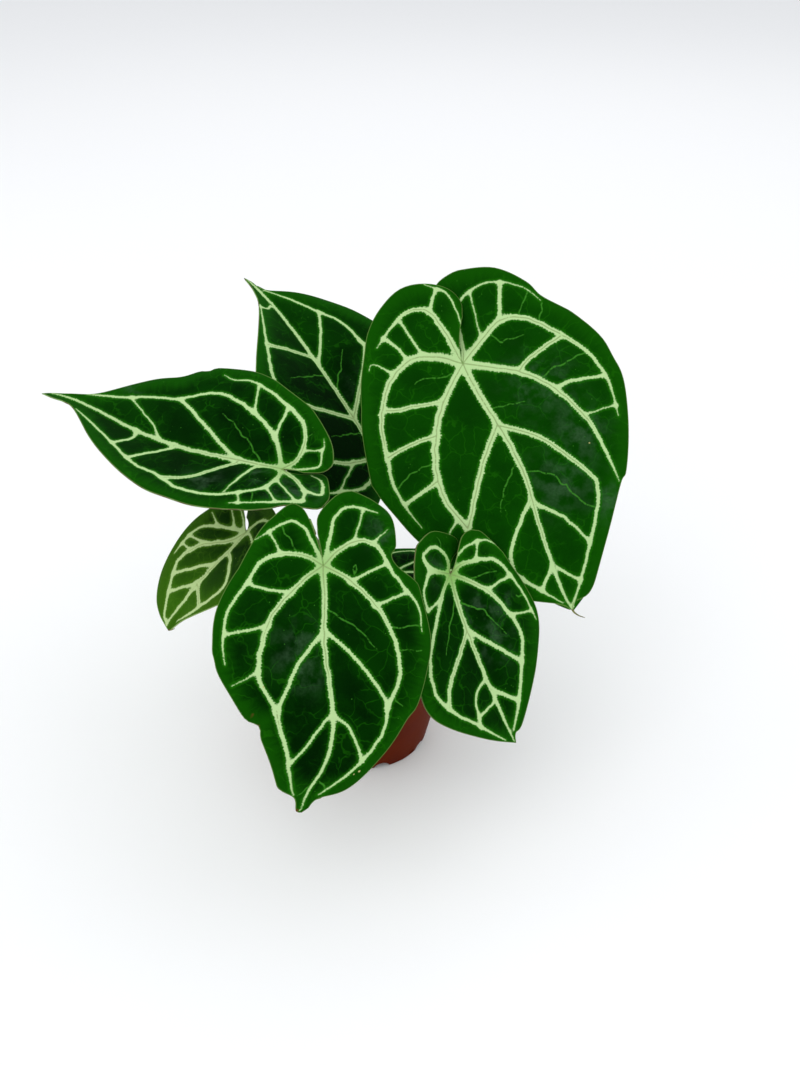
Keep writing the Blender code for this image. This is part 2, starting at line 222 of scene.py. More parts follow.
# %% Numbers of each leaf
LEAVES = (
    dict(
        name="upper_right", joint=(57, 23.5, 256.5), heading=-57, pitch=-36, roll=15, length=152,
        half=71.5, droop=26, lobes=10, rise=(4, 17), arch=(21, 12), lift=(6, -5), twist=0, curl=4,
        sway=(0, -1, -3, 0, -1), sinus=(186, 180), tip=(0, 152),
        right=((-12, -24.5), (-15.5, -33.5), (-12, -43), (0, -50), (14.5, -53), (28.5, -48), (40, -39),
               (48, -27.5), (61, -5), (76.5, 37.5), (77.5, 45), (75.5, 59), (68.5, 81.5), (52, 108),
               (29.5, 129.5), (5, 145)),
        left=((-1, -23), (-2, -37), (-4, -46), (-10, -50.5), (-18, -51.5), (-25, -50), (-41, -42),
              (-53, -26.5), (-57, -14.5), (-68.5, 3), (-75.5, 19.5), (-75.5, 32.5), (-72.5, 50),
              (-54, 90), (-47, 98), (-17.5, 141), (-3, 147)),
        leave=(-8, 38),
        via=((38, 5, 127), (48, 16, 165), (53, 26, 205), (55.5, 32.5, 231)),
    ),
    dict(
        name="front", joint=(-16, -95.5, 205), heading=-84, pitch=-34, roll=-12, length=125.5,
        half=54.5, droop=46, lobes=8, rise=(4, 10), arch=(28, 28), lift=(0, 0), twist=6, curl=3,
        sway=(0, 1, -3, -3, 9), sinus=(177, 184), tip=(0, 125.5),
        right=((3.5, -17.5), (7, -27.5), (10.5, -31.5), (15, -32.5), (22.5, -27), (33, -15.5),
               (50.5, 17.5), (55.5, 39), (55.5, 46.5), (54.5, 54.5), (49.5, 66), (43, 77), (36, 80.5),
               (34, 88.5), (21.5, 109), (16.5, 113.5), (8, 117.5), (2.5, 124.5)),
        left=((2, -17.5), (1, -27), (-8, -37), (-15.5, -40), (-20.5, -39), (-30, -34), (-38, -26),
              (-39, -11.5), (-36, -6), (-39, 0), (-49.5, 7), (-52.5, 12.5), (-55.5, 30), (-53.5, 44.5),
              (-43.5, 69), (-37, 77), (-27, 93.5), (-15.5, 111), (-3.5, 117.5), (-2.5, 124.5)),
        leave=(-105, 45),
        via=((-7, -24, 120), (-14, -50, 153), (-18.5, -74, 179)),
    ),
    dict(
        name="lower_right", joint=(48.5, -69.5, 180), heading=-56, pitch=-50, roll=-3, length=100,
        half=42, droop=8, lobes=10, rise=(20, 12), arch=(18, 18), lift=(0, 0), twist=4, curl=3,
        sway=(0, 3, 2, -1, -7), sinus=(206, 123), tip=(0, 98.5),
        right=((-17, -9), (-19.5, -14), (-16, -18), (1, -24.5), (14, -22), (19, -18), (26, -5), (31, 12),
               (36, 28), (43, 46), (44, 60), (36, 72), (16.5, 88)),
        left=((-9, -10), (-14, -16), (-19, -18), (-23, -17), (-28, -13), (-38, 6), (-44, 21), (-45, 38),
              (-36, 56), (-9.5, 88), (-2.5, 93)),
        leave=(-50, 35),
        via=((18, -20, 112), (34, -42, 142), (41.5, -56, 162)),
    ),
    dict(
        name="left", joint=(-41.5, -29, 220), heading=152, pitch=2, roll=-12, length=167, half=53,
        droop=0, lobes=10, rise=(28, 15), arch=(14, 12), lift=(1, -2), twist=14, curl=0,
        sway=(0, -9, -10, -3, -2), sinus=(162, 168), tip=(0, 167),
        right=((1, -13), (4, -23), (9, -27), (14, -26), (23, -20), (35, -5), (49, 18), (57, 33), (61, 49),
               (58, 68), (54, 73), (52, 79), (44, 88), (34, 105), (12, 131), (4, 150)),
        left=((6, -14), (9, -18), (9, -21), (6, -25), (-7, -34), (-14, -36), (-21, -35), (-26, -20),
              (-33, -13), (-41, -1), (-45, 18), (-44, 36), (-40, 59), (-24, 105), (-6, 140), (-4.5, 156)),
        leave=(165, 55),
        via=((-14, -1, 122), (-26.5, -5, 153), (-38, -15, 184), (-41, -24, 202)),
    ),
    dict(
        name="back", joint=(8, 30, 191), heading=129, pitch=40, roll=2, length=155, half=66, droop=25,
        lobes=-10, rise=(14, 26), arch=(22, 15), lift=(0, 0), twist=0, curl=0, sway=(0, 0, 0, 1, 1),
        sinus=(156, 155), tip=(0, 154),
        right=((4, -9), (15, -19), (25, -22), (37, -18), (49, -10), (59, 2), (66, 16), (69, 46), (66, 60),
               (60, 72), (49, 92), (24, 121), (4.5, 137), (1.5, 148)),
        left=((-5, -11), (-11, -20), (-29, -31), (-42, -33), (-55, -30), (-61, -25), (-69, -8), (-75, 11),
              (-76, 22), (-67, 47), (-54, 68), (-14, 119), (-4.5, 137)),
        leave=(95, 62),
        via=((-4, 14, 118), (-2, 26, 145), (2, 36, 172)),
    ),
    dict(
        name="low_back", joint=(18, 29, 107), heading=4, pitch=4, roll=0, length=72, half=26, droop=16,
        lobes=6, rise=(6, 6), arch=(14, 14), lift=(0, 0), twist=0, curl=0, sway=(0, 1, 0, -1, 1),
        sinus=(150, 150), tip=(0, 74),
        right=((4, -8), (11, -14), (19, -13), (25, -5), (27, 8), (25, 24), (19, 42), (10, 58), (3, 67)),
        left=((-4, -8), (-10, -14), (-19, -14), (-25, -6), (-27, 7), (-25, 24), (-19, 41), (-10, 57),
              (-3, 67)),
        leave=(60, 15),
        via=((11, 19, 96),),
    ),
    dict(
        name="young_left", joint=(-65, -24, 175), heading=-144, pitch=-38, roll=0, length=73, half=38,
        droop=17, lobes=10, rise=(14, 14), arch=(14, 14), lift=(1, -1), twist=3, curl=0,
        sway=(0, 3, 5, 6, 9), sinus=(124, 207), tip=(0, 74),
        right=((7, -6), (15, -11), (21, -11), (27, -9), (35, 12), (35, 32), (32, 49), (24, 63), (14, 70)),
        left=((12, -6), (21, -13), (17, -17), (2, -20), (-11, -19), (-19, -15), (-27, -9), (-33, -1),
              (-37, 11), (-33, 30), (-24, 43), (-6, 62)),
        leave=(-158, 28),
        via=((-24, -9, 108), (-44, -14, 135), (-56, -18, 158)),
    ),
)
print("leaves:", ", ".join(leaf["name"] for leaf in LEAVES))

# %% Smooth curve through a few places
STEPS_BETWEEN = 16


def through(points, count, spread=1):
    """Places on a smooth curve through the points: evenly spaced, or wider toward its end."""
    given = np.array(points, float)
    ends = np.vstack([2 * given[0] - given[1], given, 2 * given[-1] - given[-2]])
    t = np.linspace(0, 1, STEPS_BETWEEN, endpoint=False)[:, None]
    pieces = []
    for a, b, c, d in zip(ends, ends[1:], ends[2:], ends[3:]):
        square = (2 * a - 5 * b + 4 * c - d) * t**2
        cube = (3 * b - a - 3 * c + d) * t**3
        pieces.append((2 * b + (c - a) * t + square + cube) / 2)
    fine = np.vstack(pieces + [given[-1:]])
    run = np.concatenate([[0], np.cumsum(np.linalg.norm(np.diff(fine, axis=0), axis=1))])
    places = run[-1] * (1 - np.linspace(1, 0, count) ** spread)
    return np.stack([np.interp(places, run, axis) for axis in fine.T], axis=1)


# %% From the flat drawing into space
SINUS_WIDTH = 22
SINUS_DEPTH = 10
TIP_CURL_FROM = 0.62
SWAY_ENDS = 1.15
STRAIGHT = 1e-6


def hill(distance, width):
    """1 at no distance, and less and less beyond the width."""
    return np.exp(-((distance / width) ** 2))


def arc(distance, angle, turn):
    """How far along and how far up an arc gets that starts at an angle and turns so much per mm."""
    turn = np.where(np.abs(turn) < STRAIGHT, STRAIGHT, turn)
    end = angle + turn * distance
    return (np.sin(end) - np.sin(angle)) / turn, (np.cos(angle) - np.cos(end)) / turn


def leaf_axes(leaf):
    """The right, tip and upper directions of a blade at its joint."""
    heading, pitch, roll = (math.radians(leaf[key]) for key in ("heading", "pitch", "roll"))
    level = np.array([math.sin(heading), -math.cos(heading), 0])
    flat = math.cos(pitch)
    ahead = np.array([math.cos(heading) * flat, math.sin(heading) * flat, math.sin(pitch)])
    upper = np.cross(level, ahead)
    right = math.cos(roll) * level - math.sin(roll) * upper
    return right, ahead, np.cross(right, ahead)


def bend_blade(leaf, x, y, side):
    """Places in space for places on the drawing. side is 1 on the right half and -1 on the left."""
    length = leaf["length"]
    turn = np.where(y >= 0, -math.radians(leaf["droop"]), math.radians(leaf["lobes"])) / length
    along, up = arc(y, 0, turn)
    slope = turn * y
    up = up - leaf["curl"] * (np.clip(y / length - TIP_CURL_FROM, 0, None) / (1 - TIP_CURL_FROM)) ** 2
    rise = np.radians(np.where(side > 0, leaf["rise"][0], leaf["rise"][1]))
    arch = np.radians(np.where(side > 0, leaf["arch"][0], leaf["arch"][1]))
    out, high = arc(x * side, rise, -arch / leaf["half"])
    twist = math.radians(leaf["twist"]) * y / length
    across = side * out * np.cos(twist) + high * np.sin(twist)
    high = high * np.cos(twist) - side * out * np.sin(twist)
    near_sinus = hill(x, SINUS_WIDTH) * (1 - hill(np.minimum(y, 0), SINUS_DEPTH))
    high = high + np.where(side > 0, leaf["lift"][0], leaf["lift"][1]) * near_sinus
    sway = np.polyfit(np.linspace(0, 1, 5), leaf["sway"], 4)
    across = across + np.polyval(sway, np.clip(y / length, 0, SWAY_ENDS))
    right, ahead, upper = leaf_axes(leaf)
    place = np.array(leaf["joint"]) + across[..., None] * right
    place = place + (along - high * np.sin(slope))[..., None] * ahead
    return place + (up + high * np.cos(slope))[..., None] * upper

# %% [markdown]
# ## The net of veins
# A heart-shaped leaf has one midrib, a few great veins that leave the joint and bend round the lobes,
# side veins from the midrib, and a collecting vein that runs along the margin. Each vein is a smooth
# curve through a few places on the flat drawing, after its width at its start and at its end. A vein
# belongs to one half, so that the lobes may lie over each other. Faint veins keep the leaf's green.

# %% Veins of each leaf
VEINS = {}

# %% Veins of the upper right leaf
VEINS["upper_right"] = dict(
    middle=(
        (3.6, 1.5, (0, 0), (-0.5, 62), (2, 97), (1, 123), (0, 151)),
    ),
    right=(
        (3.6, 1.1, (0, 0), (2, -13.5), (3.5, -27), (6, -34), (14.5, -39), (26, -36), (40, -28)),
        (3.6, 1.1, (0, 0), (11, -7.5), (25, -13), (37, -10), (47, -2), (57, 15), (62, 30), (67, 46),
         (67, 62), (64, 75)),
        (3.3, 2.6, (0, 0), (21, 17.5), (34, 33), (44, 52), (46, 68), (41, 85.5)),
        (2.7, 2.5, (0, 40), (21, 59), (41, 85.5)),
        (2, 1.9, (2, 85), (12, 94), (21.5, 106), (23.5, 116.5), (20.5, 123)),
        (1.9, 1.2, (20.5, 123), (12, 133), (3, 145)),
        (1.9, 1.8, (2, 124), (11.5, 133)),
        (1.4, 1.4, (22, -35.5), (20, -17.5), (18, -11.5)),
        (1.7, 1.6, (34.5, -31.5), (31, -26), (28, -14)),
        (1.7, 0.9, (38, -10), (46, -20.5), (49.5, -18)),
        (2, 2.3, (20, 16), (43.5, 10), (50.5, 7)),
        (2.2, 2.2, (33, 32), (46.5, 30.5), (62, 31.5)),
        (2.2, 1.7, (45, 55), (66, 59)),
        (1.7, 1.4, (45, 79), (53, 85)),
        (1.8, 0.9, (5, -34), (-1, -41), (-6, -44.5), (-10.5, -37), (-9.5, -25), (-6.5, -14), (-3, -5)),
        (1.1, 0.6, (-5.5, -44), (1, -50)),
    ),
    left=(
        (2.2, 0.7, (0, 0), (-5.5, -11), (-12, -31), (-22, -36.5), (-35, -35.5), (-49.5, -24.5),
         (-55, -12.5)),
        (3.6, 1.1, (0, 0), (-12, -6), (-29, -12.5), (-42, -7.5), (-56, 10), (-64, 24), (-66, 42),
         (-61, 63)),
        (3.6, 1.4, (0, 0), (-17.5, 12.5), (-27, 20), (-38, 36), (-45, 60), (-46, 74), (-47.5, 95)),
        (2.6, 1.3, (-1, 41), (-15, 54), (-25, 69.5), (-35, 89), (-32, 102), (-22, 120), (-12, 135.5),
         (-1, 149)),
        (1.9, 1.3, (1, 87.5), (-12.5, 101.5), (-22.5, 119)),
        (1.6, 1.4, (1, 123), (-11, 136.5)),
        (2.2, 2.2, (-26, 18.5), (-34.5, 14.5), (-55.5, 11)),
        (1.9, 1.6, (-38, 36), (-47, 35.5), (-65, 40.5)),
        (1.1, 0.7, (-45, 55), (-63, 57.5)),
        (1.9, 2, (-29.5, -13), (-39.5, -32.5)),
        (1.1, 1.1, (-16.5, -10), (-22.5, -35.5)),
    ),
    right_faint=(
        (0.8, 0.7, (41, 45.5), (54, 44.5), (66, 49.5)),
        (0.9, 0.6, (8, 3), (14.5, 3), (26.5, -0.5), (30.5, 0.5)),
        (0.7, 0.6, (0, 62), (16.5, 76.5), (21, 84.5)),
    ),
    left_faint=(
        (1.1, 0.6, (-34, 27.5), (-45, 25), (-63.5, 25)),
        (0.8, 0.7, (-39.5, -10), (-51, -21)),
        (0.8, 0.6, (-48.5, -2), (-55, -11)),
        (0.7, 0.6, (-21.5, -9), (-23.5, -1), (-37.5, 1.5)),
        (0.8, 0.5, (-1, 69.5), (-11, 74.5), (-18.5, 85), (-25.5, 98.5), (-31, 103)),
        (0.7, 0.5, (-2, 30.5), (-20, 35)),
    ),
)
print("veins of the upper right leaf:", sum(len(veins) for veins in VEINS["upper_right"].values()))

# %% Veins of the front leaf
VEINS["front"] = dict(
    middle=(
        (3.6, 1.5, (0, 0), (-1.5, 17.5), (1, 44.5), (0, 89), (3, 113), (0.5, 124)),
    ),
    right=(
        (2.5, 0.8, (0, 0), (2, -6), (13, -23), (33.5, -14)),
        (3, 1, (0, 0), (9, -5), (21.5, -6), (31.5, -2), (37, 9), (46, 22), (50, 38), (50.5, 49)),
        (3.3, 2, (0, 0), (8.5, 7), (20, 19), (27, 29), (33, 45), (34.5, 57), (27.5, 72)),
        (2.9, 1, (27.5, 72), (26, 80), (20.5, 95), (13.5, 110), (9, 116)),
        (1.9, 1.9, (1, 33.5), (16, 50.5), (27.5, 72.5)),
        (1.5, 1.4, (0.5, 74), (5, 78.5), (17.5, 98)),
        (1.7, 1.4, (15, 14), (31.5, 10.5), (35.5, 8)),
        (1.4, 1.5, (27, 30), (47.5, 33.5)),
        (0.9, 0.7, (34, 52), (48.5, 60)),
        (1, 1, (21, -6.5), (26, -17.5)),
    ),
    left=(
        (2.4, 1.2, (0, 0), (-4.5, -16), (-7, -25), (-12.5, -30.5), (-20, -31), (-30, -28.5)),
        (3.4, 1.2, (0, 0), (-9, -8.5), (-20, -13), (-29, -9), (-36, 3), (-50, 20), (-50.5, 33.5)),
        (3.1, 2, (0, 0), (-14, 8), (-28, 22), (-34.5, 37), (-35, 54), (-27, 70.5)),
        (2, 1.6, (-1, 33.5), (-11, 43.5), (-23, 60.5), (-27, 71), (-23.5, 85), (-15, 99.5), (-3, 115)),
        (1.5, 1.4, (-0.5, 74), (-8.5, 81), (-16.5, 96)),
        (1, 1, (-16, -11), (-22, -29)),
        (1.3, 0.8, (-26.5, -12), (-35, -20)),
        (1.6, 1.5, (-14, 9), (-32.5, -1)),
        (1.5, 1.5, (-26, 21), (-43.5, 14)),
    ),
    right_faint=(
        (0.8, 0.7, (3.5, 111), (7, 116)),
        (0.7, 0.5, (12, -5.5), (20, -21.5)),
    ),
    left_faint=(
        (0.7, 0.5, (-33.5, 31.5), (-50.5, 30.5)),
        (0.8, 0.8, (-16.1, 0), (-17.4, 2.5), (-16.1, 5.2), (-14.8, 2.6), (-16.1, 0)),
        (0.6, 0.5, (-36, 42.5), (-48.5, 43)),
        (1, 0.8, (-31, 64), (-35, 70)),
        (0.8, 0.5, (-1, 21), (-10.5, 28), (-16.5, 32), (-25, 42.5)),
        (0.9, 0.8, (2, 106.5), (-5, 112.5)),
    ),
)
print("veins of the front leaf:", sum(len(veins) for veins in VEINS["front"].values()))

# %% Veins of the lower right leaf
VEINS["lower_right"] = dict(
    middle=(
        (3.6, 1.7, (0, 0), (-0.5, 32), (0.5, 97)),
    ),
    right=(
        (3, 1.4, (0, 0), (-2.5, -10), (5, -16.5), (14.5, -14.5), (14, -5)),
        (3, 1.3, (0, 0), (10, -4.5), (16, -4), (22.5, 3), (22.5, 12.5)),
        (2.7, 1.6, (0, 0), (9, 7.5), (21.5, 23), (31, 36), (35.5, 51), (34, 58), (29, 67), (20.5, 76),
         (15, 82.5), (6, 93.5)),
        (2.9, 2.5, (0, 31.5), (23, 50), (31.5, 62.5)),
        (1.6, 1.7, (0.3, 58.5), (8.5, 61.5), (13.5, 66.5), (17.5, 79.5)),
        (1.5, 1.5, (0.3, 71.5), (15.5, 74.5)),
        (1.1, 1.4, (22.5, 12.5), (12, 10)),
        (1, 0.9, (15, -12), (12.5, -8), (9.5, -4.5)),
    ),
    left=(
        (1.6, 0.8, (0, 0), (-9, -8.5), (-22, -11), (-31.5, -6.5), (-36.5, 2)),
        (2.9, 1, (0, 0), (-10.5, -2.5), (-29.5, 3), (-40, 22), (-42.5, 40.5)),
        (2.9, 1.7, (0, 0), (-10.5, 7.5), (-21, 18), (-28, 33), (-29.5, 45), (-23.5, 57), (-12, 76.5),
         (-2, 91)),
        (2.4, 2.3, (-1.5, 31.5), (-23, 57.5)),
        (2.5, 2.3, (0.5, 64.5), (-11.5, 76)),
        (1.2, 1.2, (-22, -10.5), (-17, -2)),
        (1.6, 1.7, (-19, 15), (-36, 13)),
        (1.3, 1.1, (-28, 32.5), (-41, 35)),
    ),
    right_faint=(
        (0.7, 0.5, (0, -14), (-2, -18.5), (0, -21)),
        (1.2, 0.7, (0.5, 12.5), (16, 30.5), (20.5, 37)),
    ),
    left_faint=(
        (0.8, 0.8, (-35.5, 24), (-41, 25.5)),
        (0.8, 0.5, (-9.5, 6), (-28, 8)),
        (1, 0.6, (-0.5, 15), (-13.5, 26), (-21, 41)),
    ),
)
print("veins of the lower right leaf:", sum(len(veins) for veins in VEINS["lower_right"].values()))

# %% Veins of the left leaf
VEINS["left"] = dict(
    middle=(
        (3.1, 1.4, (0, 0), (2.5, 48), (1, 161)),
        (3.4, 3.2, (1.4, 25), (-7.5, 30), (-22, 38), (-28.5, 49.5)),
        (2.6, 2.4, (2.2, 65), (-23, 77.5)),
        (2.1, 2.4, (2, 93), (-6, 90), (-17.5, 94)),
    ),
    right=(
        (1.5, 1.1, (0, 0), (2, -9.5), (7, -20), (16, -18)),
        (3.2, 0.9, (0, 0), (7, -6), (17.5, -6), (29, 1), (45.5, 25), (53, 43), (52, 54), (54, 62)),
        (2.5, 1.4, (0, 0), (16.5, 10.5), (29, 25.5), (39, 46), (40, 61), (30, 79), (24, 97.5),
         (15, 116.5), (7.5, 139)),
        (2, 2.2, (2, 26.5), (22.5, 60.5), (30, 78)),
        (1.2, 0.9, (3, 76), (10.5, 87), (18, 108.5)),
        (1.4, 1.8, (17.5, 11.5), (36.5, 13)),
        (1.4, 1.1, (32, 30), (49.5, 37)),
        (1.2, 0.9, (13, -7.5), (16.5, -18), (22.5, -16)),
    ),
    left=(
        (3.6, 1.5, (0, 0), (-3.5, -10.5), (-10.5, -20.5), (-19, -25)),
        (2.6, 1.6, (0, 0), (-8, -2.5), (-18.5, -2), (-24, 2), (-33.5, 18), (-34, 37), (-28, 54),
         (-25.5, 72), (-16.5, 98), (-6.5, 135.5)),
        (2.6, 1.1, (0, 12), (-3.5, 14.5), (-18, 15), (-29.5, 14.5)),
        (2.3, 1.8, (-10, -20), (-9, -30), (2, -23.5), (5, -15)),
        (2.3, 1, (-19, -25), (-34, -2.5), (-38, 7)),
        (1.1, 1.4, (-10.5, -4), (-20, -20.5), (-20, -24)),
        (1.2, 1.1, (-19, -2.5), (-26, -12.5)),
        (0.8, 0.8, (-27, 8), (-37, 2.5)),
    ),
    right_faint=(
        (0.9, 0.5, (1.5, 11.5), (11, 21.5), (19, 32), (28, 47.5)),
        (0.9, 0.7, (19, -5.5), (24.5, -8.5)),
    ),
    left_faint=(
        (0.6, 0.7, (-24.5, 2.5), (-33, -2.5)),
    ),
)
print("veins of the left leaf:", sum(len(veins) for veins in VEINS["left"].values()))

# %% Veins of the back leaf
VEINS["back"] = dict(
    middle=(
        (3.2, 1.4, (0, 0), (0.5, 58), (1, 110), (0.5, 152)),
    ),
    right=(
        (2.6, 1.2, (0, 0), (4, -6.5), (11.5, -11.5), (22.5, -13), (36, -9)),
        (3, 1.2, (0, 0), (28.5, 0.5), (50, 15.5), (58, 34), (57, 52)),
        (3, 1.7, (0, 0), (12, 7), (33, 27.5), (42.5, 53.5), (40, 64), (34, 74)),
        (3, 1.2, (0.5, 28.5), (22.5, 53), (33.5, 66.5), (34.5, 74), (31.5, 91), (20, 109), (3.5, 137)),
        (1.9, 1.8, (1, 70), (14, 87.5), (23, 103.5)),
        (1.9, 1.5, (26, 20), (53, 21)),
        (1.7, 1.4, (39, 43), (58, 42)),
    ),
    left=(
        (3.2, 0.9, (0, 0), (-5, -4.5), (-24, -15), (-47, -13.5), (-62.5, -10.5)),
        (3.2, 1.4, (0, 0), (-31, 1.5), (-57.5, 11.5), (-62.5, 23), (-60, 42), (-48, 60)),
        (3.6, 1.1, (0.5, 28), (-18.5, 34.5), (-36.5, 43), (-45, 60), (-31, 88), (-10, 123)),
        (3.1, 3.1, (-0.5, 76.5), (-31.5, 86)),
        (1.3, 0.9, (-23, 1), (-47, -13.5)),
        (1.9, 1.3, (1, 124), (-6, 119.5), (-11.5, 120.5)),
    ),
    right_faint=(
        (0.9, 0.6, (1, 49), (20, 72)),
    ),
    left_faint=(
        (1.1, 0.6, (0, 61), (-33, 60)),
        (1, 0.6, (-1.5, 18), (-30.5, 18.5)),
    ),
)
print("veins of the back leaf:", sum(len(veins) for veins in VEINS["back"].values()))

# %% Veins of the low back leaf
VEINS["low_back"] = dict(
    middle=(
        (2.6, 1, (0, 0), (1, 36), (0.5, 72)),
    ),
    right=(
        (1.4, 0.8, (0, 0), (4, -8), (12, -10), (19, -8)),
        (1.8, 0.9, (0, 0), (9, -5), (19, -2), (23, 10), (20, 28)),
        (2, 0.9, (0, 0), (9, 7), (16, 22), (15, 38), (6, 56), (1, 69)),
        (1.5, 1.1, (0.5, 16), (9, 25), (15, 37)),
        (1.2, 0.9, (0.5, 36), (6, 43), (10, 50)),
        (1.1, 0.9, (14, 16), (22, 14)),
    ),
    left=(
        (1.4, 0.8, (0, 0), (-4, -8), (-12, -10), (-19, -8)),
        (1.8, 0.9, (0, 0), (-9, -5), (-19, -2), (-23, 10), (-20, 28)),
        (2, 0.9, (0, 0), (-4.5, 5.5), (-10, 14.5), (-16, 25), (-14, 40), (-6, 56), (-1, 69)),
        (1.5, 1.1, (0.5, 18), (-8, 28), (-14, 39)),
        (1.2, 0.9, (0.5, 38), (-6, 46), (-9, 51)),
        (1.1, 0.9, (-12, 18), (-22, 16)),
    ),
    right_faint=(),
    left_faint=(),
)
print("veins of the low back leaf:", sum(len(veins) for veins in VEINS["low_back"].values()))

# %% Veins of the young left leaf
VEINS["young_left"] = dict(
    middle=(
        (3.6, 1.8, (0, 0), (-1, 16.5), (3, 51.5), (4.5, 68.5), (3.5, 72.5)),
        (3.4, 3, (2, 41), (-11.5, 47.5)),
    ),
    right=(
        (1.4, 0.9, (0, 0), (6, -9), (2.5, -17)),
        (1.3, 0.9, (0, 0), (13, -8), (18, -8.5)),
        (2.3, 1.7, (0, 0), (5.5, 2), (27, 15.5), (30.5, 37)),
        (3.3, 1.8, (0, 0), (4.5, 10.5), (17.5, 23), (24, 38), (18, 54), (10, 68), (5, 70.5)),
        (2.2, 2, (1, 25.5), (21, 45.5)),
        (2.1, 1.9, (1.5, 40), (16.5, 55.5)),
        (1.3, 1.2, (17, 8), (28.5, 4.5)),
        (1.5, 1.3, (8, 2.5), (22, -6.5)),
        (1.5, 1.2, (14.5, 19.5), (30, 23.5)),
        (1.3, 1, (21, 28.5), (30, 29.5)),
    ),
    left=(
        (3.1, 1, (0, 0), (-2.5, -9), (-8.5, -12.5), (-15, -12), (-23, -7.5)),
        (1.7, 1.2, (0, 0), (-8.5, 0), (-24.5, 8), (-26, 22.5)),
        (2.7, 2, (-1.5, 15), (-10.5, 18), (-21.5, 30), (-13, 49), (-0.5, 66)),
    ),
    right_faint=(),
    left_faint=(),
)
print("veins of the young left leaf:", sum(len(veins) for veins in VEINS["young_left"].values()))

# %% [markdown]
# ## The blade as a fine sheet
# The veins are part of the leaf's form: the green between them stands up a little, and they are thick
# ribs underneath. So each blade is a sheet of triangles that is fine where a vein runs and coarse in
# between. It starts as a grid whose one edge is drawn together at the joint. Edges that are too long for
# their place are cut in two, round after round, while the sheet is still flat.

# %% Rays of one half
START_COLUMNS = 44
START_ROWS = 10
RAY_REACH = 0.45
TIP_SPREAD = 0.85
OUTLINE_COLUMNS = 240
OUTLINE_ROWS = 24


def half_rays(leaf, side, columns=START_COLUMNS, rows=START_ROWS):
    """Curved rays from the joint to the margin of one half, from the sinus to the tip."""
    points = leaf["right"] if side > 0 else leaf["left"]
    margin = through(list(points) + [leaf["tip"]], columns + 1, TIP_SPREAD)
    bearing = np.degrees(np.arctan2(margin[:, 0] * side, margin[:, 1]))
    bearing = np.minimum.accumulate(np.where(bearing < -90, bearing + 360, bearing))
    start = leaf["sinus"][0] if side > 0 else leaf["sinus"][1]
    start = np.radians(bearing * start / bearing[0])
    reach = RAY_REACH * np.linalg.norm(margin, axis=1)
    bend = np.stack([side * np.sin(start) * reach, np.cos(start) * reach], axis=1)
    t = np.linspace(0, 1, rows + 1)[None, :, None]
    return 2 * t * (1 - t) * bend[:, None] + t**2 * margin[:, None]


def half_outline(leaf, side):
    """The edge of one half: along the sinus from the joint, then round to the tip."""
    rays = half_rays(leaf, side, OUTLINE_COLUMNS, OUTLINE_ROWS)
    return np.vstack([rays[0, :-1], rays[:, -1]])


print("outline of the front leaf:", len(half_outline(LEAVES[1], 1)), "places a half")

# %% Distance to a drawn line
CHUNK = 6000
NO_LENGTH = 1e-9


def distance_to(path, points, reach=math.inf):
    """How far points are from a line, the nearest place on it, and that place counted in segments.
    Points further away than reach are left at that distance."""
    gap = np.full(len(points), float(reach))
    place = np.array(points)
    count = np.zeros(len(points))
    inside = (points > path.min(axis=0) - reach) & (points < path.max(axis=0) + reach)
    near = np.flatnonzero(inside.all(axis=1))
    start, step = path[:-1], np.diff(path, axis=0)
    square = np.maximum((step**2).sum(axis=1), NO_LENGTH)
    for first in range(0, len(near), CHUNK):
        some = near[first:first + CHUNK]
        away = points[some, None] - start
        share = np.clip((away * step).sum(axis=2) / square, 0, 1)
        squares = ((away - share[..., None] * step) ** 2).sum(axis=2)
        index = squares.argmin(axis=1)
        rows = np.arange(len(some))
        part = share[rows, index]
        gap[some] = np.sqrt(squares[rows, index])
        place[some] = start[index] + part[:, None] * step[index]
        count[some] = index + part
    return gap, place, count


# %% [markdown]
# A vein is drawn smooth, and a living one has small turns, so each line is moved a little by noise.
# The widths are fitted to each leaf by a share and a loss, so that thick and thin veins differ as much
# as on the real blade. A vein that ends in the green runs out to a hair.

# %% Veins as they grow
VEIN_STEP = 1.2
LEAST_STEPS = 3
WIDTH_FIT = dict(upper_right=(1.5, 1.1), back=(0.8, 0.05))
USUAL_FIT = (0.78, 0.08)
LEAST_WIDTH = 0.5
JOINED = 2.2
WANDER = 0.7
WANDER_FAINT = 2.2
WANDER_LENGTH = 5
TAPER = 14
THIN_END = 0.4


def wander(line, reach):
    """The line with small turns, as veins have them. Its ends stay."""
    hold = np.sin(np.linspace(0, math.pi, len(line)))
    turns = [noise.noise_vector(Vector((x, y, 0)) / WANDER_LENGTH)[:2] for x, y in line]
    return line + np.array(turns) * (reach * hold)[:, None]


def drawn(vein, reach):
    """A vein's width at each step of its smooth line, and the line."""
    first, last, *points = vein
    length = np.linalg.norm(np.diff(np.array(points, float), axis=0), axis=1).sum()
    line = through(points, max(LEAST_STEPS, int(length / VEIN_STEP)))
    return np.linspace(first, last, len(line)), wander(line, reach)


def taper_free_end(widths, line, others):
    gaps = [distance_to(other, line[-1:])[0][0] for other in others]
    if min(gaps) < JOINED:
        return widths
    to_end = np.linalg.norm(line - line[-1], axis=1)
    return widths * np.clip(THIN_END + (1 - THIN_END) * to_end / TAPER, THIN_END, 1)


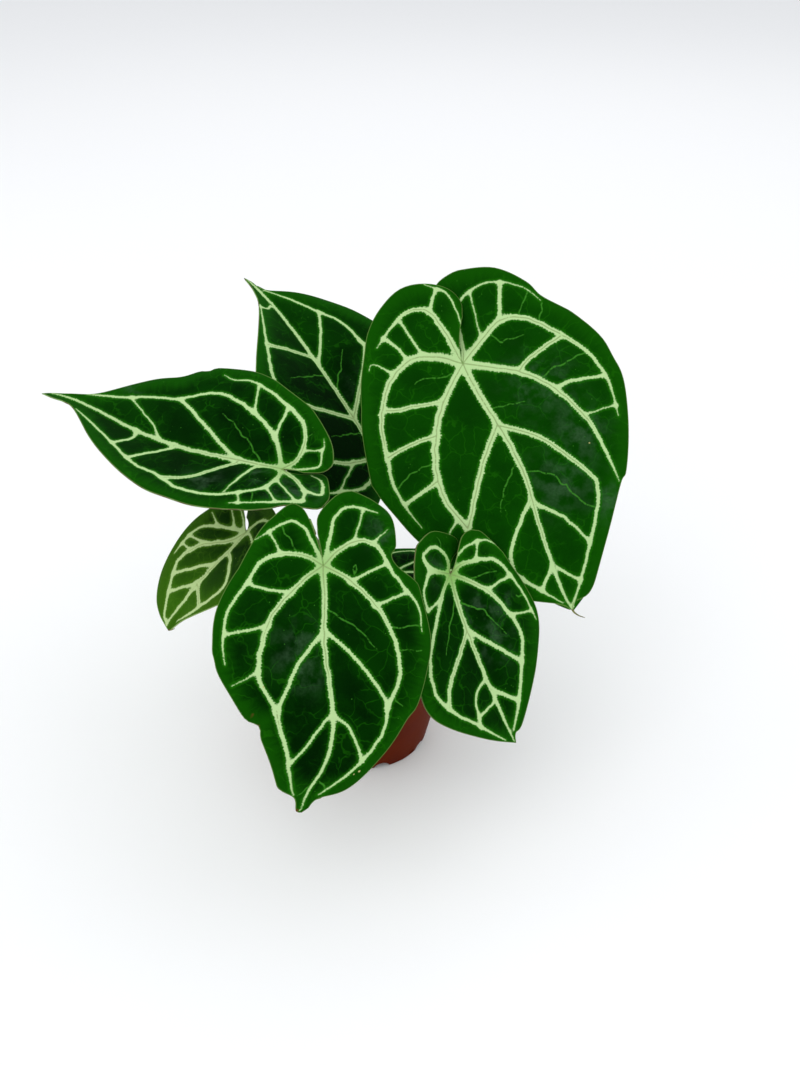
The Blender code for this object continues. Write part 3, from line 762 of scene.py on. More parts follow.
def veins_of(leaf, side, kind=""):
    """The veins that touch one half. The midrib belongs to both."""
    drawing = VEINS[leaf["name"]]
    half = "right" if side > 0 else "left"
    main = [drawn(vein, WANDER) for vein in drawing[half] + drawing["middle"]]
    chosen = [drawn(vein, WANDER_FAINT) for vein in drawing[half + kind]] if kind else main
    share, loss = WIDTH_FIT.get(leaf["name"], USUAL_FIT)
    finished = []
    for widths, line in chosen:
        others = [other for _, other in main if other is not line]
        widths = np.maximum(share * widths - loss, LEAST_WIDTH)
        finished.append((taper_free_end(widths, line, others), line))
    return finished


# %% Growing finer round after round
FINEST = 0.8
FINEST_FAINT = 0.95
COARSEST = 3.4
GROWTH = 0.36
TOO_LONG = 1.3
ROUNDS = 7
APART = 0.01
SAME_PLACE = 1e-5
FADE = 0.5


def wanted_length(leaf, points, reach, side):
    """The edge length that suits each place. reach is how far an edge goes from its middle."""
    wanted = np.full(len(points), COARSEST)
    far = COARSEST / GROWTH + 2 * COARSEST
    for kind, finest in (("", FINEST), ("_faint", FINEST_FAINT)):
        for widths, line in veins_of(leaf, side, kind):
            gap = distance_to(line, points, far)[0] - widths.max() / 2 - reach
            wanted = np.minimum(wanted, finest + GROWTH * np.clip(gap - FADE, 0, None))
    return wanted


def grid_sheet(leaf):
    """A flat sheet with its two halves a hair above and below the plane, which tells them apart."""
    halves = {side: half_rays(leaf, side) for side in (-1, 1)}
    columns = np.concatenate([halves[-1], halves[1][-2::-1]])
    sheet = bmesh.new()
    bmesh.ops.create_grid(sheet, x_segments=2 * START_COLUMNS, y_segments=START_ROWS, size=1)
    for vertex in sheet.verts:
        column = round((vertex.co.x + 1) * START_COLUMNS)
        row = round((vertex.co.y + 1) * START_ROWS / 2)
        height = APART * np.sign(column - START_COLUMNS) if row else 0
        vertex.co = (*columns[column, row], height)
    bmesh.ops.remove_doubles(sheet, verts=sheet.verts, dist=SAME_PLACE)
    bmesh.ops.triangulate(sheet, faces=sheet.faces)
    return sheet


def places_of(sheet):
    return np.array([vertex.co for vertex in sheet.verts])


def refine(leaf, sheet):
    for _ in range(ROUNDS):
        sheet.verts.index_update()
        places = places_of(sheet)
        edges = list(sheet.edges)
        ends = np.array([[vertex.index for vertex in edge.verts] for edge in edges])
        first, last = places[ends[:, 0]], places[ends[:, 1]]
        middle = (first + last)[:, :2] / 2
        length = np.linalg.norm((first - last)[:, :2], axis=1)
        side = np.where(first[:, 2] + last[:, 2] >= 0, 1, -1)
        longer = length > FINEST * TOO_LONG
        for half in (-1, 1):
            pick = np.flatnonzero(longer & (side == half))
            wanted = wanted_length(leaf, middle[pick], length[pick] / 2, half)
            longer[pick] = length[pick] > wanted * TOO_LONG
        chosen = [edges[index] for index in np.flatnonzero(longer)]
        if not chosen:
            break
        bmesh.ops.subdivide_edges(sheet, edges=chosen, cuts=1, use_single_edge=True)
        open_faces = [face for face in sheet.faces if len(face.verts) > 3]
        bmesh.ops.triangulate(sheet, faces=open_faces)
        bmesh.ops.beautify_fill(sheet, faces=sheet.faces, edges=sheet.edges)

# %% [markdown]
# Every vertex then learns how far it is from the veins and from the margin. The material reads these
# numbers as attributes, and the form uses them too. Where two veins meet, the real leaf has a small
# web between them, so their distances are joined by a soft minimum instead of a sharp one.

# %% Vertices on the outline and on the veins
SNAP = 0.34
SNAP_ROUNDS = 4
LEAST_SHARE = 0.12
ON_MIDRIB = 1e-6


def sides_of(sheet):
    return np.array([-1 if vertex.co.z < 0 else 1 for vertex in sheet.verts])


def move_to(sheet, index, places):
    for number, place in zip(index, places):
        vertex = sheet.verts[number]
        vertex.co = (place[0], place[1], vertex.co.z)


def twice_area(a, b, c):
    """Twice the area of a flat triangle, below zero when it is turned over."""
    return (b[0] - a[0]) * (c[1] - a[1]) - (b[1] - a[1]) * (c[0] - a[0])


def turned_over(sheet, before):
    """The vertices of faces that a move has turned over or made flat."""
    found = set()
    for face in sheet.faces:
        area = twice_area(*(vertex.co for vertex in face.verts))
        old = twice_area(*(before[vertex.index] for vertex in face.verts))
        if area * old <= 0 or abs(area) < LEAST_SHARE * abs(old):
            found.update(vertex.index for vertex in face.verts)
    return found


def snap(leaf, sheet):
    """Cut edges are straight, so their new ends are set back on the round outline and on the veins."""
    sheet.verts.index_update()
    sheet.verts.ensure_lookup_table()
    before = places_of(sheet)
    places = before[:, :2].copy()
    sides = sides_of(sheet)
    rim = np.array([vertex.is_boundary for vertex in sheet.verts])
    for side in (-1, 1):
        pick = np.flatnonzero(rim & (sides == side))
        places[pick] = distance_to(half_outline(leaf, side), places[pick])[1]
        pick = np.flatnonzero(~rim & (sides == side) & (np.abs(places[:, 0]) > ON_MIDRIB))
        nearest = np.full(len(pick), SNAP)
        target = places[pick].copy()
        for widths, line in veins_of(leaf, side) + veins_of(leaf, side, "_faint"):
            gap, place, _ = distance_to(line, places[pick], SNAP)
            close = gap < nearest
            target[close] = place[close]
            nearest = np.minimum(gap, nearest)
        places[pick] = target
    move_to(sheet, range(len(places)), places)
    for _ in range(SNAP_ROUNDS):
        wrong = turned_over(sheet, before)
        if not wrong:
            break
        move_to(sheet, wrong, [before[index] for index in wrong])


# %% Distances that every vertex keeps
FAR = 14.0
WEB = 1
WEB_DEEPEST = -4
NEXT_VEIN = 37
SPINE_WIDTH = 2.1
SPINE_LOSS = 1.2
LEAST_RIB = 0.5
MARGIN_REACH = 16


def lengths_along(line):
    return np.concatenate([[0], np.cumsum(np.linalg.norm(np.diff(line, axis=0), axis=1))])


def bank_of(line, away, count):
    """1 on the one side of a vein and -1 on the other."""
    first = np.minimum(count.astype(int), len(line) - 2)
    step = line[first + 1] - line[first]
    return np.sign(step[:, 0] * away[:, 1] - step[:, 1] * away[:, 0])


def soft_least(values):
    values = np.array(values)
    return -WEB * np.log(np.exp(-np.clip(values, WEB_DEEPEST, None) / WEB).sum(axis=0))


def measure_half(leaf, side, places):
    """Millimetres from places to the nearest vein, faint vein, groove of a wide vein and margin, and
    where on the nearest vein they are."""
    found = {name: [np.full(len(places), FAR)] for name in ("vein", "faint", "spine", "rib")}
    found.update({name: [np.zeros(len(places))] for name in ("along", "bank")})
    found["breadth"] = [np.ones(len(places))]
    for kind in ("", "_faint"):
        for widths, line in veins_of(leaf, side, kind):
            gap, place, count = distance_to(line, places, FAR)
            width = np.interp(count, np.arange(len(widths)), widths)
            found["faint" if kind else "vein"].append(gap - width / 2)
            found["spine"].append(gap + np.clip(SPINE_WIDTH - width, 0, None) * SPINE_LOSS)
            found["rib"].append(gap / np.maximum(width, LEAST_RIB))
            if not kind:
                found["breadth"].append(width)
                found["along"].append(count * VEIN_STEP + NEXT_VEIN * len(found["along"]))
                found["bank"].append(bank_of(line, places - place, count))
    marks = {name: np.min(found[name], axis=0) for name in ("faint", "spine", "rib")}
    marks["vein"] = np.minimum(soft_least(found["vein"]), FAR)
    nearest = np.argmin(found["vein"], axis=0)
    for name in ("breadth", "along", "bank"):
        marks[name] = np.array(found[name])[nearest, np.arange(len(places))]
    outline = half_outline(leaf, side)
    marks["margin"], _, count = distance_to(outline, places, MARGIN_REACH)
    marks["round"] = side * np.interp(count, np.arange(len(outline)), lengths_along(outline))
    return marks


def measure(leaf, sheet):
    places = places_of(sheet)[:, :2]
    sides = sides_of(sheet)
    marks = {}
    for side in (-1, 1):
        pick = sides == side
        for name, values in measure_half(leaf, side, places[pick]).items():
            marks.setdefault(name, np.zeros(len(places)))[pick] = values
    return places, sides, marks


# %% [markdown]
# ## Form of the blade
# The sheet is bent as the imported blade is. Then each vertex moves a little along the surface's own
# direction: the panels between the veins swell, a wide vein has a fine groove, and the margin waves
# gently. A Solidify modifier gives the thickness, which a vertex group raises under the veins.

# %% Swelling between the veins
SWELL = 0.75
SWELL_REACH = 4.5
FLAT_MARGIN = 7
RIDGE = 0.18
RIDGE_SLOPE = 0.7
GROOVE = 0.22
GROOVE_WIDTH = 0.5
FAINT_DIP = 0.16
FAINT_WIDTH = 1.2
WAVE = 0.9
WAVE_LENGTH = 24
WAVE_REACH = 14
LOWERED = 0.25


def relief(leaf, places, marks):
    """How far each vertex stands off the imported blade's upper face, in millimetres."""
    inner = np.clip(marks["margin"] / FLAT_MARGIN, 0, 1)
    open_panel = 1 - np.exp(-np.clip(marks["vein"], 0, None) / SWELL_REACH)
    ridge = RIDGE * np.clip(-marks["vein"] / RIDGE_SLOPE, 0, 1)
    dips = GROOVE * hill(marks["spine"], GROOVE_WIDTH) + FAINT_DIP * hill(marks["faint"], FAINT_WIDTH)
    seed = len(leaf["name"])
    wave = [noise.noise(Vector((x / WAVE_LENGTH, y / WAVE_LENGTH, seed))) for x, y in places]
    wave = WAVE * np.array(wave) * np.clip(1 - marks["margin"] / WAVE_REACH, 0, 1)
    return SWELL * open_panel * inner + ridge - dips + wave - LOWERED


def bent_mesh(leaf):
    sheet = grid_sheet(leaf)
    refine(leaf, sheet)
    snap(leaf, sheet)
    places, sides, marks = measure(leaf, sheet)
    for vertex, place in zip(sheet.verts, bend_blade(leaf, places[:, 0], places[:, 1], sides)):
        vertex.co = place * MM
    sheet.normal_update()
    upper = Vector(leaf_axes(leaf)[2])
    if sum(face.normal.dot(upper) for face in sheet.faces) < 0:
        bmesh.ops.reverse_faces(sheet, faces=sheet.faces)
    sheet.normal_update()
    for vertex, height in zip(sheet.verts, relief(leaf, places, marks)):
        vertex.co += vertex.normal * float(height) * MM
    return finished(sheet, "blade_" + leaf["name"]), places, sides, marks


# %% Thickness and the piece itself
LAMINA = 0.66
RIB = 2.1
RIB_SPREAD = 0.55
RIB_FADE = 10
LEAST_FADE = 0.1
GROUP_STEPS = 60
TONE_REACH = 0.8


def keep_numbers(mesh, marks):
    for name, values in marks.items():
        attribute = mesh.attributes.new(name, "FLOAT", "POINT")
        attribute.data.foreach_set("value", np.asarray(values, np.float32))


def slot_of(leaf):
    return "young_leaf" if leaf["name"].startswith("young") else "leaf"


def thicken(blade, marks):
    """A sheet gets its underside and its cut edge, and is thicker under the veins."""
    fade = np.clip(marks["margin"] / RIB_FADE, LEAST_FADE, 1)
    thickness = LAMINA + (RIB - LAMINA) * hill(marks["rib"], RIB_SPREAD) * fade
    group = blade.vertex_groups.new(name="thickness")
    steps = np.round(thickness / RIB * GROUP_STEPS).astype(int)
    for step in np.unique(steps):
        group.add([int(index) for index in np.flatnonzero(steps == step)], step / GROUP_STEPS, "REPLACE")
    body = blade.modifiers.new("Thickness", "SOLIDIFY")
    body.thickness = RIB * MM
    body.offset = -1
    body.vertex_group = "thickness"
    body.material_offset = 1
    body.material_offset_rim = 2


def add_blade(leaf, finishes):
    mesh, places, sides, marks = bent_mesh(leaf)
    marks.update(spots(leaf, places, sides))
    # Each blade's own green, with painted shade toward the joint where other blades lie over it.
    marks["tone_and_shade"] = np.interp(places[:, 1], (0, TONE_REACH * leaf["tip"][1]), TONES_AND_SHADE[leaf["name"]])
    keep_numbers(mesh, marks)
    for finish in finishes:
        mesh.materials.append(finish)
    blade = add_object("blade_" + leaf["name"], mesh)
    thicken(blade, marks)
    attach(blade, "root")
    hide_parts("leaf_" + leaf["name"])
    return blade


# %% [markdown]
# ## Marks of a living leaf
# No two blades have the same green, and a blade that lies under others gets painted shade in its green,
# toward its joint or all over. A young vein is greener at the joint, and a leaf from a nursery has some
# small scars and a brown tip. Where the velvet shines, grey patches of painted sheen lie on the green.
# The painted sheen and the scars are soft spots at places on the drawing, so each is a number that falls
# off from its middle.

# %% Places of painted sheen, pale scars and brown scars
PAINTED_SHEEN_SPOTS = dict(
    upper_right=((-1, -32, 30, 15), (-1, -38, 62, 13), (-1, -17, 82, 15), (-1, -39, 102, 9)),
    front=((1, 13, 42, 12), (1, 12, 52, 9), (-1, -33, -19, 9)),
    lower_right=((-1, -11, 24, 9), (-1, -13, 41, 11), (-1, -25, 23, 6), (1, 7, -4, 7)),
    left=((1, 25, 112, 6), (-1, -15, -15, 10), (-1, -12, -25, 6), (-1, -10, 7, 8), (-1, -24, 31, 9)),
    back=((1, 20, 40, 12),),
)
PALE_SCARS = dict(
    front=((1, 37, 81.5, 1.1), (-1, -17, 102, 0.7), (-1, -15, 103.5, 0.5), (1, 33, 60, 0.6)),
    left=((-1, -14, 60, 0.7), (1, 20, 84, 0.6)),
    upper_right=((-1, -40, 70, 0.6),),
)
BROWN_SCARS = dict(
    front=((1, 39.4, 75, 1.5), (1, 37.5, 80, 1.6), (-1, -2.5, 125, 2), (1, 2.5, 125, 2)),
    upper_right=((1, 0, 152, 1.6),),
    lower_right=((1, 0, 99, 1.3),),
    left=((1, 0, 167, 1.5),),
    young_left=((1, 0, 74, 1.4),),
)

# %% How light each blade is at joint and tip: its own green, with painted shade under other blades
# young_left, back and low_back are darker toward the joint or all over: painted shade from the blades
# above them.
TONES_AND_SHADE = dict(
    upper_right=(0.75, 0.8),
    front=(0.3, -0.15),
    lower_right=(0.15, 0),
    left=(-0.1, 0.35),
    back=(-0.5, 0.6),
    low_back=(-0.5, -0.5),
    young_left=(-0.5, 1),
)
FRESH_JOINTS = dict(front=0.4, lower_right=0.75, left=0.35, back=0.3)
FRESH_REACH = 11


def spots(leaf, places, sides):
    """The marks of one blade from 0 to 1: fresh green, painted sheen and scars. A place is a side, x, y
    and a radius.
    """
    name = leaf["name"]
    from_joint = np.hypot(places[:, 0], places[:, 1])
    found = {"fresh": FRESH_JOINTS.get(name, 0) * hill(from_joint, FRESH_REACH)}
    for mark, table in (("painted_sheen", PAINTED_SHEEN_SPOTS), ("pale_scar", PALE_SCARS), ("brown_scar", BROWN_SCARS)):
        left_over = np.ones(len(places))
        for side, x, y, radius in table.get(name, ()):
            gap = np.hypot(places[:, 0] - x, places[:, 1] - y)
            left_over *= 1 - hill(gap, radius) * (sides == side)
        found[mark] = 1 - left_over
    return found


# %% [markdown]
# ## Velvet and veins
# The upper face is velvet: deep green with hardly a highlight. The vein's edge is ragged, because the
# pale tissue follows the smallest side veins for a hair's breadth. So fine noise is added to the
# distance from the vein before a soft step turns it into a mask. Colours are given as on a screen, and
# a helper turns them into the light values that a shader needs.

# %% Colours
def light(red, green, blue):
    """Screen values from 0 to 255 as linear light."""
    parts = [value / 255 for value in (red, green, blue)]
    return tuple(part / 12.92 if part < 0.04045 else ((part + 0.055) / 1.055) ** 2.4 for part in parts)


LEAF_GREENS = dict(
    deep=light(0, 26, 0),
    panel=light(8, 66, 0),
    border=light(15, 78, 1),
    glow=light(30, 106, 6),
    faint=light(58, 128, 36),
    vein=light(178, 210, 146),
    fresh=light(104, 164, 58),
    groove=light(128, 148, 92),
    line=light(104, 140, 66),
    # painted sheen: the grey green painted where the velvet shines
    painted_sheen=light(66, 98, 68),
)
YOUNG_GREENS = dict(
    deep=light(12, 42, 4),
    panel=light(50, 96, 12),
    border=light(52, 94, 12),
    glow=light(70, 112, 26),
    faint=light(112, 150, 62),
    vein=light(178, 202, 140),
    fresh=light(118, 156, 60),
    groove=light(140, 158, 98),
    line=light(130, 160, 86),
    # painted sheen: the grey green painted where the velvet shines
    painted_sheen=light(110, 134, 96),
)
PALE_SCAR = light(178, 176, 112)
BROWN_SCAR = light(96, 58, 30)
print("deepest green as light:", [round(part, 4) for part in LEAF_GREENS["deep"]])

# %% Edge of a vein
TEETH = 0.55
COARSE_TEETH = 0.2
FRINGE = 0.3
FRINGE_SCALE = 1.15
OTHER_BANK = 6
NARROWER = 0.1


def ragged_edge(finish, vein, teeth, coarse):
    """The distance from a vein, with teeth and with a fringe that points away from the vein."""
    breadth = finish.attribute("breadth")
    bank = finish.attribute("bank") * OTHER_BANK
    across = finish.joined(finish.attribute("along"), bank, vein * 0.3)
    fringe = finish.step(finish.noise(across, FRINGE_SCALE), 0.42, 0.7)
    edge = vein + (teeth - 0.5) * TEETH + (coarse - 0.5) * breadth * COARSE_TEETH
    return edge - fringe * (FRINGE + breadth * 0.12) + NARROWER


# %% Green between the veins
NET_SCALE = 88
NET_DRIFT = 0.009
BORDER_WIDTH = 13
PANEL_MIDDLE = 11


def panel_green(finish, greens, vein, mottle, fine_mottle):
    """Deep green in the middle of a panel, lighter in patches, near veins and at the border. The blade's
    tone adds its own green, and painted shade where other blades lie over it.
    """
    patch = finish.step(mottle + (fine_mottle - 0.5) * 0.25, 0.36, 0.64)
    near_vein = finish.step(vein, PANEL_MIDDLE, 0)
    depth = finish.attribute("tone_and_shade") * 0.7 + patch * 0.24 + near_vein * 0.14
    margin = finish.attribute("margin")
    streaks = finish.noise(finish.joined(finish.attribute("round") * 0.4, margin * 0.05, 0), 1, 3)
    border = finish.step(margin + (mottle - 0.5) * 10 + (streaks - 0.5) * 9, BORDER_WIDTH, 1)
    return finish.mix(
        greens["deep"], (greens["panel"], depth.math("MINIMUM", 1)), (greens["border"], border * 0.8))


def smallest_net(finish, where):
    """The smallest veins are edges between cells, whose places are bent by noise."""
    drift = finish.noise(where, 120, output=1)
    shift = finish.node("ShaderNodeVectorMath", {"operation": "SCALE"}, {0: drift, 3: NET_DRIFT})
    bent = finish.node("ShaderNodeVectorMath", {"operation": "ADD"}, {0: where, 1: shift})
    return finish.step(finish.cells(bent, NET_SCALE, "DISTANCE_TO_EDGE"), 0.035, 0.008)


# %% Upper face of a leaf
VELVET_ROUGHNESS = 0.58
VELVET_SHINE = 0.012
SHEEN_COAT = 0.08
VEIN_RELIEF = 0.0004


def upper_finish(name, greens):
    finish = Finish(name, Roughness=VELVET_ROUGHNESS, Specular_IOR_Level=VELVET_SHINE, Coat_Roughness=0.5)
    where = finish.where()
    vein, faint, spine, margin, fresh = (
        finish.attribute(key) for key in ("vein", "faint", "spine", "margin", "fresh"))
    teeth = finish.noise(where, 1300)
    coarse = finish.noise(where, 420, 1)
    mottle = finish.noise(where, 60, 3)
    fine_mottle = finish.noise(where, 700)
    edge = ragged_edge(finish, vein, teeth, coarse)
    pale = finish.step(edge, 0.32, -0.22)
    faint_line = finish.step(faint + (teeth - 0.5) * 0.45 + (coarse - 0.5) * 0.5, 0.36, -0.15)
    sheen_patches = finish.step(finish.noise(where, 130, 6), 0.4, 0.64)
    # Painted sheen: a grey green laid in soft patches where the velvet shines; the same patches get a thin
    # coat.
    painted_sheen = finish.attribute("painted_sheen") * sheen_patches * finish.step(fine_mottle, 0.2, 0.8, 0.5, 1)
    groove = finish.step(spine, 0.5, 0.12) * pale
    rare = finish.step(finish.noise(where, 75, 1), 0.5, 0.62)
    color = finish.mix(
        panel_green(finish, greens, vein, mottle, fine_mottle),
        (greens["glow"], smallest_net(finish, where) * finish.step(mottle, 0.4, 0.6) * 0.28),
        (greens["painted_sheen"], painted_sheen * 0.42),
        (greens["glow"], finish.step(edge, 1.9, 0) * 0.75),
        (greens["faint"], faint_line * 0.8),
        (finish.mix(greens["vein"], (greens["fresh"], fresh)), pale),
        (greens["groove"], groove * 0.7),
        (greens["line"], finish.step(margin, 0.6, 0.15) * 0.7),
        (greens["faint"], finish.step(finish.cells(where, 260), 0.09, 0.05) * rare * 0.7),
        (BROWN_SCAR, finish.step(finish.attribute("brown_scar"), 0.35, 0.75) * 0.85),
        (PALE_SCAR, finish.step(finish.attribute("pale_scar"), 0.35, 0.7)),
    )
    finish.wire(Base_Color=color, Coat_Weight=painted_sheen * SHEEN_COAT)
    finish.bump(teeth * 0.5 + fine_mottle * 0.5 - groove, 0.35, VEIN_RELIEF)
    return finish.material


# %% Underside and cut edge of a leaf
UNDERSIDE = dict(panel=light(96, 128, 70), deep=light(76, 110, 54), vein=light(178, 196, 134))
YOUNG_UNDERSIDE = dict(panel=light(128, 156, 88), deep=light(106, 138, 70), vein=light(190, 204, 146))


def under_finish(name, greens):
    """The underside is paler and matt, and its veins are round ribs."""
    finish = Finish(name, Roughness=0.62, Specular_IOR_Level=0.3)
    where = finish.where()
    mottle = finish.noise(where, 90, 3)
    grain = finish.noise(where, 900)
    rib = finish.step(finish.attribute("vein") + (grain - 0.5) * 0.5, 0.5, -0.2)
    net = finish.cells(where, 130, "DISTANCE_TO_EDGE")
    color = finish.mix(
        greens["deep"],
        (greens["panel"], finish.step(mottle, 0.35, 0.65)),
        (greens["vein"], rib * 0.85),
        (greens["vein"], finish.step(finish.attribute("faint"), 0.4, 0) * 0.45),
        (greens["vein"], finish.step(net, 0.05, 0.01) * 0.3),
    )
    finish.wire(Base_Color=color)
    finish.bump(grain, 0.3, 0.0003)
    return finish.material


def edge_finish(name, color, other):
    finish = Finish(name, Roughness=0.6, Specular_IOR_Level=0.3)
    cloud = finish.step(finish.noise(finish.where(), 150), 0.4, 0.6)
    finish.wire(Base_Color=finish.mix(color, (other, cloud)))
    return finish.material


FINISHES = dict(
    leaf=(
        upper_finish("leaf_velvet", LEAF_GREENS),
        under_finish("leaf_underside", UNDERSIDE),
        edge_finish("leaf_edge", light(120, 156, 84), light(96, 84, 50)),
    ),
    young_leaf=(
        upper_finish("young_leaf_velvet", YOUNG_GREENS),
        under_finish("young_leaf_underside", YOUNG_UNDERSIDE),
        edge_finish("young_leaf_edge", light(140, 170, 96), light(124, 140, 80)),
    ),
)

# %% All seven blades
for leaf in LEAVES:
    blade = add_blade(leaf, FINISHES[slot_of(leaf)])
    print(blade.name, len(blade.data.polygons), "triangles on its upper face")

# %% [markdown]
# ## Stalks
# Each blade hangs on a long round stalk that leaves the crown at a slant and bends over at the top,
# where a swollen pale knee turns the blade to the light. A stalk is a tube along one smooth curve. Its
# lower end goes into the crown and its upper end into the thick rib under the joint.

# %% Route of a stalk
CROWN_Z = 90
CROWN_RADIUS = 10
STALK_STEPS = 72
STALK_LEAD = 12
LEAST_LEAD = 0.3
SUNK_IN_CROWN = 4
SUNK_IN_BLADE = 0.5


def stalk_route(leaf):
    crown = np.array([0, 0, CROWN_Z])
    turn, lift = (math.radians(angle) for angle in leaf["leave"])
    out = np.array([math.cos(turn) * math.cos(lift), math.sin(turn) * math.cos(lift), math.sin(lift)])
    upper = leaf_axes(leaf)[2]
    joint = np.array(leaf["joint"])
    lead = min(STALK_LEAD, LEAST_LEAD * np.linalg.norm(joint - crown))
    knots = [crown + out * (CROWN_RADIUS - SUNK_IN_CROWN), crown + out * (CROWN_RADIUS + lead)]
    knots += [np.array(place) for place in leaf["via"]]
    knots += [joint - upper * (lead + 1), joint - upper * SUNK_IN_BLADE]
    return through(knots, STALK_STEPS + 1)


# %% A round tube
TUBE_SMOOTHNESS = 6


def mesh_of(thing):
    """The object's mesh as its modifiers or its curve settings leave it."""
    graph = bpy.context.evaluated_depsgraph_get()
    return bpy.data.meshes.new_from_object(thing.evaluated_get(graph))


def tube_mesh(name, places, radii):
    """A round tube along a route as a closed mesh, and how far along the route each vertex is."""
    curve = bpy.data.curves.new(name, "CURVE")
    curve.dimensions = "3D"
    curve.bevel_depth = MM
    curve.bevel_resolution = TUBE_SMOOTHNESS
    curve.use_fill_caps = True
    spline = curve.splines.new("POLY")
    spline.points.add(len(places) - 1)
    for point, place, radius in zip(spline.points, places, radii):
        point.co = (*(place * MM), 1)
        point.radius = radius
    guide = add_object(name, curve)
    shell = bmesh.new()
    shell.from_mesh(mesh_of(guide))
    bpy.data.objects.remove(guide, do_unlink=True)
    clean(shell)
    mesh = finished(shell, name)
    corners = np.array([vertex.co for vertex in mesh.vertices]) / MM
    gaps = ((corners[:, None] - places) ** 2).sum(axis=2)
    keep_numbers(mesh, {"along": gaps.argmin(axis=1) / (len(places) - 1)})
    return mesh


def add_piece(name, mesh, finish, slot, *replaced):
    """A piece of the plant or its pot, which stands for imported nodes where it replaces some."""
    mesh.materials.append(finish)
    piece = add_object(name, mesh)
    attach(piece, "root")
    if replaced:
        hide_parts(*replaced)
    return piece


# %% Green stalks that turn brown at their foot
STALK_GREEN = light(92, 124, 44)
STALK_PALE = light(150, 174, 96)
STALK_BROWN = light(112, 84, 48)
STALK_FLECK = light(176, 190, 130)
STREAK_SQUASH = 0.12


def stalk_finish():
    finish = Finish("stalk_skin", Roughness=0.46, Specular_IOR_Level=0.35)
    where = finish.where()
    along = finish.attribute("along")
    squash = {"Vector": where, "Scale": (1, 1, STREAK_SQUASH)}
    stretched = finish.node("ShaderNodeMapping", {"vector_type": "POINT"}, squash)
    streaks = finish.noise(stretched, 700)
    cloud = finish.noise(where, 60)
    flecks = finish.step(finish.cells(stretched, 900), 0.22, 0.1) * finish.step(cloud, 0.4, 0.6)
    color = finish.mix(
        STALK_GREEN,
        (STALK_PALE, finish.step(streaks, 0.45, 0.75) * 0.35),
        (STALK_PALE, finish.step(along, 0.88, 0.97) * 0.6),
        (STALK_BROWN, finish.step(along + (cloud - 0.5) * 0.2, 0.16, 0.03) * 0.85),
        (STALK_FLECK, flecks * 0.6),
    )
    finish.wire(Base_Color=color)
    finish.bump(streaks, 0.25, 0.0004)
    return finish.material


# %% Thickness along a stalk, and the seven stalks
STALK_BASE = 2.8
STALK_THIN = 1.7
STALK_KNEE = 2.3
KNEE_PLACE = 0.94
SWOLLEN_SHARE = 0.05
FLARED_FOOT = 0.9

t = np.linspace(0, 1, STALK_STEPS + 1)
stalk_radii = STALK_THIN + (STALK_BASE - STALK_THIN) * (1 - t) ** 2
stalk_radii += (STALK_KNEE - STALK_THIN) * hill(t - KNEE_PLACE, SWOLLEN_SHARE)
stalk_radii += FLARED_FOOT * hill(t, SWOLLEN_SHARE)
stalk_skin = stalk_finish()
for leaf in LEAVES:
    name = "stalk_" + leaf["name"]
    route = stalk_route(leaf)
    add_piece("round_" + name, tube_mesh(name, route, stalk_radii), stalk_skin, "stalk", name)
    print(name, "length", round(lengths_along(route)[-1]), "mm")

# %% [markdown]
# ## Dried tips
# Two blades end in a thin thread that has dried and bent aside. It is a tube as well, which grows
# thinner along a short curve from the tip of the blade.

# %% Threads at two tips
DRIED_TIPS = dict(
    upper_right=((0, 0, 0), (1.2, -0.2, -1.8), (3.8, -0.6, -3.6), (7.2, -1, -4.8)),
    young_left=((0, 0, 0), (1, -0.1, 0), (2, -0.2, 0.4), (3.4, -0.3, 1)),
)
TIP_STEPS = 24
TIP_THICKNESS = 0.62
TIP_THREAD = 0.16
dried_skin = Finish("dried_tip", Roughness=0.7, Specular_IOR_Level=0.2)
dry_cloud = dried_skin.step(dried_skin.noise(dried_skin.where(), 700), 0.35, 0.65)
dried_skin.wire(Base_Color=dried_skin.mix(light(84, 78, 34), (light(132, 136, 78), dry_cloud)))
for leaf in LEAVES:
    if leaf["name"] in DRIED_TIPS:
        end = bend_blade(leaf, np.array([0.0]), np.array([leaf["tip"][1] - 1.0]), np.array([1]))[0]
        route = through([end + np.array(step) for step in DRIED_TIPS[leaf["name"]]], TIP_STEPS)
        thread = tube_mesh("thread", route, np.linspace(TIP_THICKNESS, TIP_THREAD, TIP_STEPS))
        add_piece("dried_tip_" + leaf["name"], thread, dried_skin.material, slot_of(leaf))
        print("dried tip at", [round(value) for value in end], "mm")

# %% [markdown]
# ## Crown
# All stalks rise from one short stem at the surface of the mix. Old leaf scars make it lumpy, thick
# roots arch from it into the mix, and dry brown sheaths stand round the stalks. The lump is a fine
# ball moved by noise, and a sheath is a small grid that is curled round the crown.

# %% Lumpy stem
STEM_FOOT = 66
BULGE = 1.3
BULGE_LENGTH = 6
KNOB = 0.5
KNOB_LENGTH = 2.2
SCAR_RING = 0.45
SCAR_RINGS_PER_MM = 1.9
DRAWN_IN = 0.6


def crown_mesh():
    lump = bmesh.new()
    bmesh.ops.create_icosphere(lump, subdivisions=5, radius=1)
    for vertex in lump.verts:
        x, y, z = vertex.co
        height = CROWN_Z + z * (CROWN_RADIUS if z > 0 else CROWN_Z - STEM_FOOT)
        shape = Vector((x * CROWN_RADIUS, y * CROWN_RADIUS, height))
        bulge = BULGE * noise.noise(shape / BULGE_LENGTH) + KNOB * noise.noise(shape / KNOB_LENGTH)
        rings = SCAR_RING * math.sin(height * SCAR_RINGS_PER_MM + 2 * noise.noise(shape / 9))
        vertex.co = (shape + Vector((x, y, z * 0.4)) * (bulge + rings - DRAWN_IN)) * MM
    return finished(lump, "crown_lump")


